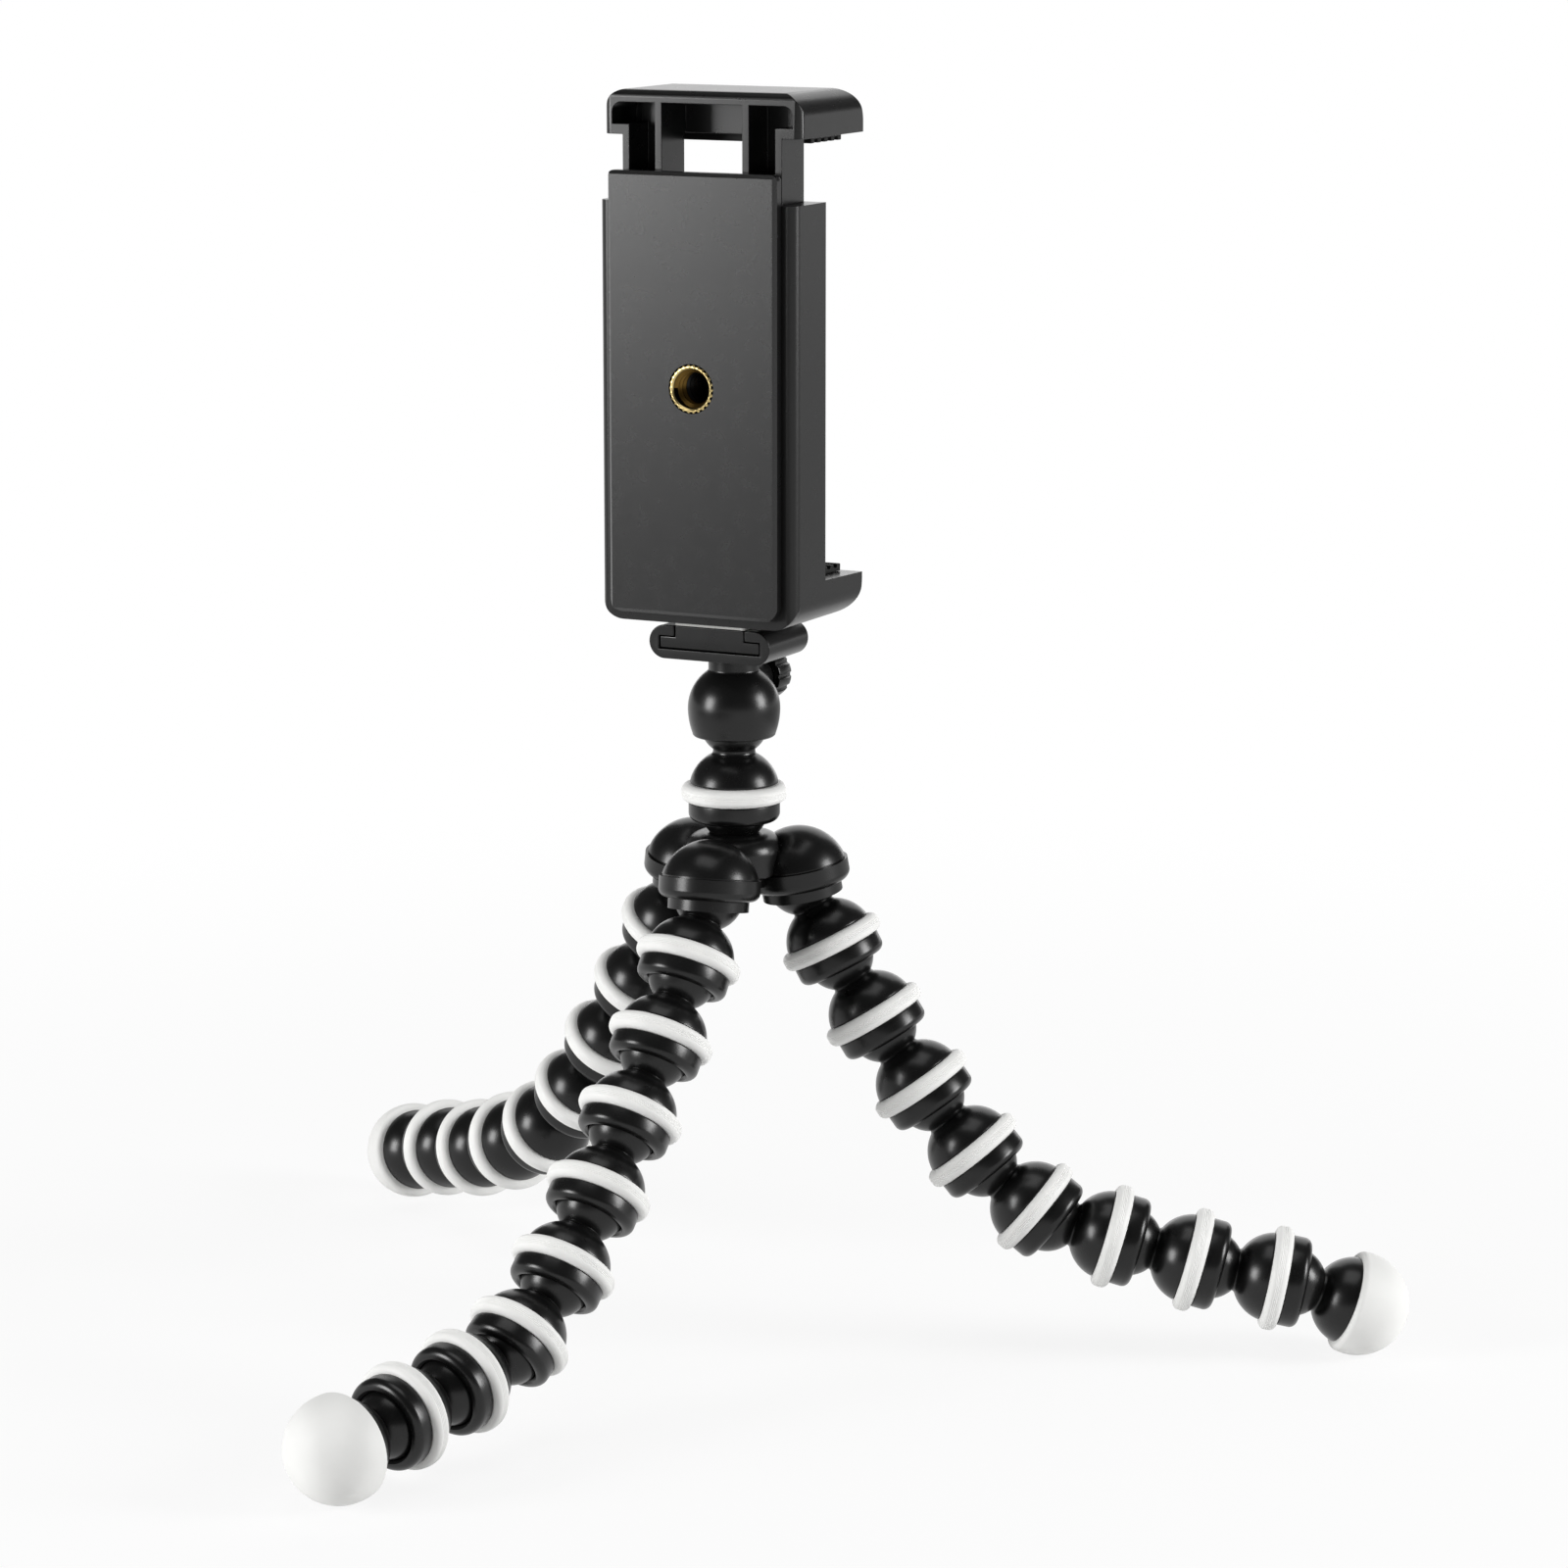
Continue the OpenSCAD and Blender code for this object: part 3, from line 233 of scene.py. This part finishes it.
def piece(name, mesh, material, body, slot, *nodes, place=None):
    """A finished piece, placed by its mesh. It rides on its body, if it is given one."""
    mesh = mesh.copy()
    mesh.name = name
    if place is not None:
        mesh.transform(place)
    mesh.materials.clear()
    mesh.materials.append(material)
    made = bpy.data.objects.new(name, mesh)
    SCENE.collection.objects.link(made)
    if body:
        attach(made, body)
    if nodes:
        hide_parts(*nodes)
    return made


# Leg segments, feet and neck
def dome_base(pitch):
    """Height of the dome's edge over the ball, where the ring's groove starts."""
    return pitch - RING_TO_SOCKET - RING_H / 2 - RING_FIT


def stalk(pitch):
    """Ball, neck, fillet and dome, from the ball's pole to the dome's edge."""
    base = dome_base(pitch)
    mid = base + DOME_DROP
    centre_r = DOME_R - DOME_ROUND
    fillet_r = NECK_R + FILLET
    up = math.sqrt((DOME_ROUND + FILLET) ** 2 - (fillet_r - centre_r) ** 2)
    points = [(0, -BALL_R)] + arc(0, 0, BALL_R, -90, math.degrees(math.acos(NECK_R / BALL_R)), 28)[1:]
    meet = math.degrees(math.atan2(up, centre_r - fillet_r))
    ball_end = points[-1][1]
    points += [p for p in arc(fillet_r, mid - up, FILLET, 180, meet, 10) if p[1] > ball_end]
    last = -math.degrees(math.asin((DOME_DROP + EDGE) / DOME_ROUND))
    points += arc(centre_r, mid, DOME_ROUND, meet - 180, last, 30)[1:]
    points += arc(points[-1][0] - EDGE, base - EDGE, EDGE, 20, 90, 4)
    return points


def shell_profile(pitch):
    """Whole segment: stalk, groove for the ring, collar and the next ball's socket."""
    base = dome_base(pitch)
    end = base + RING_H + 2 * RING_FIT
    mouth = pitch + MOUTH_DROP
    flare_r = math.sqrt(SOCKET_R ** 2 - (MOUTH_DROP - MOUTH_FLARE) ** 2)
    points = stalk(pitch)
    points += [(GROOVE_R, base), (GROOVE_R, end)]
    points += arc(COLLAR_R - EDGE, end + EDGE, EDGE, -90, 0, 4)
    points += arc(COLLAR_R - COLLAR_ROUND, mouth - COLLAR_ROUND, COLLAR_ROUND, 0, 90, 10)
    points += [(flare_r + MOUTH_FLARE, mouth), (flare_r, mouth - MOUTH_FLARE)]
    start = math.degrees(math.asin((MOUTH_DROP - MOUTH_FLARE) / SOCKET_R))
    points += arc(0, pitch, SOCKET_R, start, -90, 22)[1:-1] + [(0, pitch - SOCKET_R)]
    return points


def ring_profile(pitch):
    """Soft ring with a few fine lines round its outer face."""
    low = pitch - RING_TO_SOCKET - RING_H / 2
    high = low + RING_H
    inner = GROOVE_R + RING_FIT
    side = RING_R - RING_ROUND
    points = [(inner, high), (inner, low)]
    points += arc(side, low + RING_ROUND, RING_ROUND, -90, -15, 8)
    steps = RING_LINES * LINE_POINTS
    for k in range(1, steps):
        z = (low + high - LINE_BAND) / 2 + LINE_BAND * k / steps
        dip = 0.5 - 0.5 * math.cos(2 * math.pi * k / LINE_POINTS)
        points.append((RING_R - LINE_DEPTH * dip, z))
    points += arc(side, high - RING_ROUND, RING_ROUND, 15, 90, 8)
    return points


def cap_profile():
    """Rubber foot: a ball cut off at the rim, with the hole for the stud's peg."""
    rim = dome_base(PITCH)
    edge_z = rim + CAP_ROUND
    rim_a = math.degrees(math.asin((edge_z - FOOT_REACH) / FOOT_R))
    edge_r = FOOT_R * math.cos(math.radians(rim_a))
    hole_r, hole_end = PEG_R + PEG_FIT, rim + PEG_L + PEG_FIT
    points = [(0, hole_end), (hole_r, hole_end), (hole_r, rim)]
    points += arc(edge_r - CAP_ROUND, edge_z, CAP_ROUND, -90, 0, 8)
    points += arc(0, FOOT_REACH, FOOT_R, rim_a, 90, 40)[1:-1] + [(0, FOOT_REACH + FOOT_R)]
    return points


def stud_profile():
    """Foot stud: a stalk that ends in the cap's peg."""
    rim = dome_base(PITCH)
    return stalk(PITCH) + [(PEG_R, rim), (PEG_R, rim + PEG_L), (0, rim + PEG_L)]


SHELL = turned("segment_shell", shell_profile(PITCH))
RING = turned("segment_ring", ring_profile(PITCH), loop=True)
CAP = turned("foot_cap_skin", cap_profile())
STUD = turned("foot_stud_skin", stud_profile())


def leg_points(leg):
    """Ball centres down a leg, from its first link to its foot."""
    names = [f"{leg}_link_{k + 1}_bend" for k in range(LEG_LINKS)] + [f"{leg}_foot_bend"]
    return [Vector(JOINTS[name]["pos_m"]) for name in names]


def middle(node):
    """Middle of a node's surface, which lies on its axis when the node is turned."""
    faces = NODES[node].data.polygons
    total = sum(face.area for face in faces)
    return sum((face.center * face.area for face in faces), Vector()) / total


def build_leg(leg):
    """Shells and rings of the links, then the foot's stud and cap."""
    points = leg_points(leg)
    for k in range(LEG_LINKS):
        body = f"{leg}_link_{k + 1}"
        at = along(points[k], points[k + 1] - points[k])
        piece(f"{leg}_shell_{k + 1}", SHELL, BLACK, body, "black_plastic", f"{leg}_leg_segment_{k + 1}",
              place=at)
        piece(f"{leg}_ring_{k + 1}", RING, RING_WHITE, body, "white_rubber", place=at)
    at = along(points[-1], middle(f"{leg}_foot_cap") - points[-1])
    piece(f"{leg}_stud_skin", STUD, BLACK, f"{leg}_foot", "black_plastic", f"{leg}_foot_stud", place=at)
    piece(f"{leg}_cap_skin", CAP, FOOT_WHITE, f"{leg}_foot", "white_rubber", f"{leg}_foot_cap", place=at)


for leg_name in LEG_NAMES:
    build_leg(leg_name)

NECK_TOP = Vector(JOINTS["head_tilt"]["pos_m"])
NECK_PLACE = along(NECK_TOP, Vector((0, 0, -1)))
piece("neck_shell", turned("neck_shell", shell_profile(NECK_PITCH)), BLACK, "neck", "black_plastic",
      "neck_segment", place=NECK_PLACE)
piece("neck_band", turned("neck_band", ring_profile(NECK_PITCH), loop=True), RING_WHITE, "neck",
      "white_rubber", "neck_ring", place=NECK_PLACE)


# Ball head: the turned housing and the boss of its lock screw
HEAD_BALL_Z = NECK_TOP.z / MM
HEAD_LIFT = 2.2
HEAD_Z = HEAD_BALL_Z + HEAD_LIFT
HEAD_R = 7.4
HEAD_FLANK = 11.6
HEAD_DROP = 2.3
HEAD_FLARE = 0.4
HEAD_BEVEL = 0.5
STEM_R = 4.1
STEM_RISE = 8.7
STEM_TOP = HEAD_Z + STEM_RISE
STEM_FILLET = 0.5
LOCK_RISE = 3.9
LOCK_Z = HEAD_Z + LOCK_RISE
LOCK_BOSS_R = 3.0
LOCK_BOSS_START = 3.0
LOCK_BOSS_REACH = 8.2
LOCK_BOSS_ROUND = 0.3
LOCK_BOSS_STEPS = 64


def head_profile():
    """Ball housing with its stem on top and the socket for the neck's ball below."""
    rim = HEAD_BALL_Z - HEAD_DROP
    fillet_r = STEM_R + STEM_FILLET
    up = math.sqrt((HEAD_R + STEM_FILLET) ** 2 - fillet_r ** 2)
    meet = math.degrees(math.atan2(up, fillet_r))
    points = [(0, STEM_TOP), (STEM_R, STEM_TOP)]
    points += arc(fillet_r, HEAD_Z + up, STEM_FILLET, 180, 180 + meet, 8)
    points += arc(0, HEAD_Z, HEAD_R, meet, 0, 30)[1:]
    low = math.degrees(math.asin((rim + HEAD_BEVEL - HEAD_Z) / HEAD_FLANK))
    points += arc(HEAD_R - HEAD_FLANK, HEAD_Z, HEAD_FLANK, 0, low, 14)[1:]
    edge_r = points[-1][0]
    points += arc(edge_r - HEAD_BEVEL, rim + HEAD_BEVEL, HEAD_BEVEL, -20, -90, 6)
    flare_r = math.sqrt(SOCKET_R ** 2 - (HEAD_DROP - HEAD_FLARE) ** 2)
    points += [(flare_r + HEAD_FLARE, rim), (flare_r, rim + HEAD_FLARE)]
    start = math.degrees(math.asin((HEAD_FLARE - HEAD_DROP) / SOCKET_R))
    points += arc(0, HEAD_BALL_Z, SOCKET_R, start, 90, 22)[1:-1] + [(0, HEAD_BALL_Z + SOCKET_R)]
    return points


def boss_profile():
    """Boss of the lock screw with a rounded end, along its own Z."""
    edge = LOCK_BOSS_ROUND
    points = [(0, LOCK_BOSS_START), (LOCK_BOSS_R, LOCK_BOSS_START)]
    points += arc(LOCK_BOSS_R - edge, LOCK_BOSS_REACH - edge, edge, 0, 90, 5)
    return points + [(0, LOCK_BOSS_REACH)]


piece("head_shell", turned("head_shell", head_profile()), BLACK, "head", "black_plastic", "head_housing")
piece("lock_boss", turned("lock_boss", boss_profile(), LOCK_BOSS_STEPS), BLACK, "head", "black_plastic",
      place=along(Vector((0, 0, LOCK_Z * MM)), Vector((0, 1, 0))))


# Moulded pieces with their edges broken: faces within SAME_PLANE degrees are joined to one,
# and edges sharper than SHARP_FROM degrees are rounded
SAME_PLANE = 0.4
SHARP_FROM = 30


def softened(node, width):
    """A copy of a node whose sharp edges are rounded by width in mm."""
    bm = bmesh.new()
    bm.from_mesh(NODES[node].data)
    bmesh.ops.remove_doubles(bm, verts=bm.verts, dist=MERGE)
    bmesh.ops.dissolve_limit(bm, angle_limit=math.radians(SAME_PLANE), verts=bm.verts, edges=bm.edges)
    mesh = bpy.data.meshes.new(node + "_skin")
    bm.to_mesh(mesh)
    bm.free()
    for face in mesh.polygons:
        face.use_smooth = True
    helper = bpy.data.objects.new(node + "_helper", mesh)
    SCENE.collection.objects.link(helper)
    bevel = helper.modifiers.new("edges", "BEVEL")
    bevel.width = width * MM
    bevel.segments = 2
    bevel.limit_method = "ANGLE"
    bevel.angle_limit = math.radians(SHARP_FROM)
    flat = helper.modifiers.new("flat_faces", "WEIGHTED_NORMAL")
    flat.weight = 100
    flat.keep_sharp = True
    graph = bpy.context.evaluated_depsgraph_get()
    result = bpy.data.meshes.new_from_object(helper.evaluated_get(graph))
    result.name = node + "_skin"
    bpy.data.objects.remove(helper)
    return result


BODIES = frame["record"]["behaviour"]["bodies"]
NODE_BODY = {node: body for body, members in BODIES.items() for node in members}
NODE_SLOT = {subpart["node"]: subpart["material_slot"] for subpart in frame["record"]["subparts"]}


def skin(node, material, width):
    """A node's own form with its edges broken by width in mm, shown in the node's place."""
    return piece(node + "_skin", softened(node, width), material, NODE_BODY[node], NODE_SLOT[node], node)


# The cover's front face and its shoulders are charcoal, and everything behind their edge is black
PANEL_EDGE = -13.45
PANEL_FACING = -0.3
cover = skin("clamp_cover", BLACK, 0.25)
cover.data.materials.append(PANEL)
for face in cover.data.polygons:
    if face.center.y < PANEL_EDGE * MM and face.normal.y < PANEL_FACING:
        face.material_index = 1
# The plate's pad takes the pale finish, whose tone is partly a painted highlight
for moulding, finish, edge in (
        ("clamp_body", BLACK, 0.3), ("upper_jaw", BLACK, 0.25), ("shoe_base", BLACK, 0.25),
        ("shoe_plate", BLACK, 0.2), ("plate_pad", PAD_PALE_AND_HIGHLIGHT, 0.2), ("lock_knob", BLACK, 0.2),
        ("lower_jaw_pad", PAD_BLACK, 0.15), ("upper_jaw_pad", PAD_BLACK, 0.15)):
    skin(moulding, finish, edge)

# The springs hang between the body's pins and the jaw's bars.
# They ride on no body and are fixed where they stand at rest
WIRE_EDGE = 0.08
springs = piece("jaw_springs_skin", softened("jaw_springs", WIRE_EDGE), STEEL, None,
                NODE_SLOT["jaw_springs"], "jaw_springs")
low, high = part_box("jaw_springs")
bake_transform(springs)


# Pieces shown as the solids themselves
def dress(node, material):
    """Gives a solid its finish."""
    data = NODES[node].data
    data.materials.clear()
    data.materials.append(material)


for hub_half in ("hub_cover", "hub_base"):
    dress(hub_half, BLACK)
for fastener in ("hub_screw", "lock_screw", "shoe_screw", "plate_screw", "cover_screws", "spring_pins"):
    dress(fastener, STEEL)
dress("bottom_insert", BRASS)


# Threaded insert with a scalloped rim
INSERT_R = 3.85
BORE_R = 3.05
THREAD_R = 2.55
THREAD_PITCH = 1.27
THREAD_START = 0.3
THREAD_FLAT = 0.08
THREAD_GAP = 0.06
THREAD_STEPS = 48
SCALLOPS = 26
SCALLOP_STEPS = 6
SCALLOP_DEPTH = 0.3
# The bore's wall stands back by BORE_PLAY, and the thread's roots are buried in it
BORE_PLAY = 0.06
BURIED = 0.1
# The rim stands proud of the panel and slopes off to the outside and into the mouth
LIP = 0.12
RIM_FOOT = 0.25
RIM_EDGE = 0.06
RIM_SLOPE = 0.32
MOUTH_SLOPE = 0.28
MOUTH_EDGE = 0.1
# Painted shade in the bore: darkened brown gold from MOUTH_DEPTH in, and black plastic past LIT_DEPTH, where the
# bore lies in shadow
MOUTH_DEPTH = 0.12
LIT_DEPTH = 3.6


def insert_mesh(length):
    """Sleeve with a scalloped outside and a wound thread in its bore; its mouth is at z = 0."""
    bm = bmesh.new()
    bore = BORE_R + BORE_PLAY
    sleeve = [(INSERT_R, length), (INSERT_R, RIM_FOOT), (INSERT_R, RIM_EDGE), (INSERT_R - RIM_SLOPE, -LIP),
              (BORE_R + MOUTH_SLOPE, -LIP), (bore, MOUTH_EDGE), (bore, length)]
    spin_profile(bm, sleeve, SCALLOPS * SCALLOP_STEPS, loop=True)
    for vert in bm.verts:
        if vert.co.xy.length > (INSERT_R - RIM_SLOPE / 2) * MM:
            wave = 0.5 - 0.5 * math.cos(SCALLOPS * math.atan2(vert.co.y, vert.co.x))
            vert.co.xy *= 1 - SCALLOP_DEPTH / INSERT_R * wave
    turns = int((length - THREAD_PITCH) / THREAD_PITCH)
    half = THREAD_PITCH / 2 - THREAD_GAP
    crest = THREAD_START + half
    root = BORE_R + BURIED
    tooth = [(root, crest - half), (THREAD_R, crest - THREAD_FLAT), (THREAD_R, crest + THREAD_FLAT),
             (root, crest + half)]
    spin_profile(bm, tooth, turns * THREAD_STEPS, 360 * turns, turns * THREAD_PITCH, True)
    bmesh.ops.remove_doubles(bm, verts=bm.verts, dist=MERGE)
    bmesh.ops.holes_fill(bm, edges=[e for e in bm.edges if e.is_boundary])
    bmesh.ops.recalc_face_normals(bm, faces=bm.faces)
    return smooth_mesh(bm, "front_insert_skin", angle=40)


low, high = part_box("front_insert")
INSERT_MOUTH = Vector(((low.x + high.x) / 2, low.y, (low.z + high.z) / 2))
insert = piece("front_insert_skin", insert_mesh((high.y - low.y) / MM), BRASS, "clamp", "brass",
               "front_insert", place=along(INSERT_MOUTH, Vector((0, 1, 0))))
insert.data.materials.append(BORE_SHADE_BRASS)
insert.data.materials.append(BLACK)
# Painted shade: bore faces past MOUTH_DEPTH take the darkened brass, and faces past LIT_DEPTH take black plastic
for face in insert.data.polygons:
    depth = (face.center.y - INSERT_MOUTH.y) / MM
    if depth > LIT_DEPTH:
        face.material_index = 2
    elif depth > MOUTH_DEPTH and (face.center - INSERT_MOUTH).xz.length < (BORE_R + MOUTH_SLOPE / 2) * MM:
        face.material_index = 1


# Stage, light and camera
def sees_background(tree):
    """1 for the rays that see the background: camera, glossy and transmission."""
    path = add(tree, "ShaderNodeLightPath").outputs
    first = add(tree, "ShaderNodeMath", {"operation": "MAXIMUM"},
                links={0: path["Is Camera Ray"], 1: path["Is Glossy Ray"]})
    return add(tree, "ShaderNodeMath", {"operation": "MAXIMUM"},
               links={0: first.outputs[0], 1: path["Is Transmission Ray"]}).outputs[0]


def build_world():
    """Dim grey light all round, behind a background that is seen as white."""
    world = bpy.data.worlds.new("studio")
    SCENE.world = world
    world.use_nodes = True
    tree = world.node_tree
    dim = tree.nodes["Background"]
    dim.inputs["Color"].default_value = (0.42, 0.42, 0.42, 1)
    white = add(tree, "ShaderNodeBackground", inputs={"Color": (1, 1, 1, 1)})
    mix = add(tree, "ShaderNodeMixShader",
              links={0: sees_background(tree), 1: dim.outputs[0], 2: white.outputs[0]})
    tree.links.new(mix.outputs[0], tree.nodes["World Output"].inputs["Surface"])


def stage_piece(name, bm):
    """A stage object with an empty material tree; gives the object, the tree and its surface socket."""
    mesh = bpy.data.meshes.new(name)
    bm.to_mesh(mesh)
    bm.free()
    made = bpy.data.objects.new(name, mesh)
    SCENE.collection.objects.link(made)
    material = bpy.data.materials.new(name)
    material.use_nodes = True
    tree = material.node_tree
    tree.nodes.remove(tree.nodes["Principled BSDF"])
    mesh.materials.append(material)
    return made, tree, tree.nodes["Material Output"].inputs["Surface"]


# Floor in metres: half its side, how far it lies under the feet, and the zone in which its shadow fades
FLOOR_HALF = 4.0
FLOOR_DROP = 0.0002
FADE_FROM = 0.12
FADE_TO = 0.45
# Share of plain white in the floor near the object, where the shadow shows
GLOW_NEAR = 0.86


def build_floor():
    """Pale floor that shows the shadow near the object and fades into the white background."""
    bm = bmesh.new()
    bmesh.ops.create_grid(bm, x_segments=1, y_segments=1, size=FLOOR_HALF)
    bmesh.ops.translate(bm, verts=bm.verts, vec=(0, 0, -FLOOR_DROP))
    _, tree, surface = stage_piece("floor", bm)
    matte = add(tree, "ShaderNodeBsdfDiffuse", inputs={"Color": (0.9, 0.9, 0.9, 1)})
    glow = add(tree, "ShaderNodeEmission", inputs={"Strength": 1.0})
    where = add(tree, "ShaderNodeTexCoord")
    reach = add(tree, "ShaderNodeVectorMath", {"operation": "LENGTH"}, links={0: where.outputs["Object"]})
    fade = add(tree, "ShaderNodeMapRange", {"interpolation_type": "SMOOTHSTEP"},
               {"From Min": FADE_FROM, "From Max": FADE_TO, "To Min": GLOW_NEAR, "To Max": 1.0},
               {"Value": reach.outputs["Value"]})
    share = add(tree, "ShaderNodeMath", {"operation": "MULTIPLY"},
                links={0: sees_background(tree), 1: fade.outputs["Result"]})
    mix = add(tree, "ShaderNodeMixShader",
              links={0: share.outputs[0], 1: matte.outputs[0], 2: glow.outputs[0]})
    tree.links.new(mix.outputs[0], surface)


def build_cloth(name, bm, level, dims_soft_light):
    """Dark studio cloth, unseen by the camera, that keeps black plastic from veiling over."""
    cloth, tree, surface = stage_piece(name, bm)
    cloth.visible_camera = False
    cloth.visible_shadow = False
    cloth.visible_diffuse = dims_soft_light
    tree.links.new(add(tree, "ShaderNodeEmission", inputs={"Strength": level}).outputs[0], surface)


def build_tent(radius, low, high, level):
    """A round tent of cloth about the lamps, open to the floor."""
    bm = bmesh.new()
    bmesh.ops.create_cone(bm, cap_ends=True, segments=48, radius1=radius, radius2=radius, depth=high - low)
    bmesh.ops.translate(bm, verts=bm.verts, vec=(0, 0, (low + high) / 2))
    under = [face for face in bm.faces if face.calc_center_median().z < low + 0.01]
    bmesh.ops.delete(bm, geom=under, context="FACES_ONLY")
    build_cloth("tent", bm, level, dims_soft_light=True)


def build_flag(name, centre, width, depth, turn, level):
    """A dark cloth lying just over the floor."""
    bm = bmesh.new()
    bmesh.ops.create_grid(bm, x_segments=1, y_segments=1, size=0.5)
    bmesh.ops.scale(bm, verts=bm.verts, vec=(width, depth, 1))
    bmesh.ops.rotate(bm, verts=bm.verts, cent=(0, 0, 0), matrix=Matrix.Rotation(math.radians(turn), 3, "Z"))
    bmesh.ops.translate(bm, verts=bm.verts, vec=centre)
    build_cloth(name, bm, level, dims_soft_light=False)


LAMP_AIM = Vector((0, 0, 0.1))


def area(name, place_at, width, height, power):
    """A soft box in metres and watts, turned to the object's middle."""
    lamp = bpy.data.lights.new(name, "AREA")
    lamp.shape = "RECTANGLE"
    lamp.size = width
    lamp.size_y = height
    lamp.energy = power
    made = bpy.data.objects.new(name, lamp)
    SCENE.collection.objects.link(made)
    made.location = place_at
    made.rotation_euler = (LAMP_AIM - Vector(place_at)).to_track_quat("-Z", "Y").to_euler()


build_world()
build_floor()
build_tent(radius=1.7, low=0.2, high=1.6, level=0.1)
build_flag("front_flag", centre=(-0.46, -0.9, 0.004), width=1.1, depth=1.3, turn=-27, level=0.2)
build_flag("back_flag", centre=(0.5, 0.98, 0.004), width=1.1, depth=1.7, turn=-27, level=0.5)
area("left_box", (-0.609, -0.761, 0.318), width=0.34, height=0.42, power=7.8)
area("right_box", (0.934, 0.205, 0.373), width=0.34, height=0.42, power=7.8)
area("top_box", (0.0, -0.1, 1.1), width=0.7, height=0.7, power=2.5)
area("back_box", (-0.35, 1.0, 0.5), width=1.0, height=1.0, power=4)

# Camera of the photograph, fitted to the leg joints: degrees, metres, and pixels of the full frame
AZIMUTH = 27.0
DISTANCE = 0.79383
HEIGHT = 0.24651
FOCAL_PX = 5139.87
FRAME_PX = 1600
SENSOR_MM = 36
PITCH_DOWN = 11.018
YAW = -0.577


def build_camera():
    """Camera at the photograph's place, turned by the yaw and pitch that it was fitted with."""
    data = bpy.data.cameras.new("photo")
    data.sensor_width = SENSOR_MM
    data.sensor_height = SENSOR_MM
    data.lens = FOCAL_PX / FRAME_PX * SENSOR_MM
    data.clip_start = 0.01
    data.clip_end = 20
    made = bpy.data.objects.new("photo", data)
    SCENE.collection.objects.link(made)
    az = math.radians(AZIMUTH)
    turn = math.radians(AZIMUTH + YAW)
    pitch = math.radians(PITCH_DOWN)
    made.location = (DISTANCE * math.sin(az), -DISTANCE * math.cos(az), HEIGHT)
    level = math.cos(pitch)
    forward = Vector((-math.sin(turn) * level, math.cos(turn) * level, -math.sin(pitch)))
    right = Vector((math.cos(turn), math.sin(turn), 0))
    up = right.cross(forward)
    made.rotation_euler = Matrix((right, up, -forward)).transposed().to_euler()
    SCENE.camera = made


build_camera()
SCENE.view_settings.view_transform = "Standard"
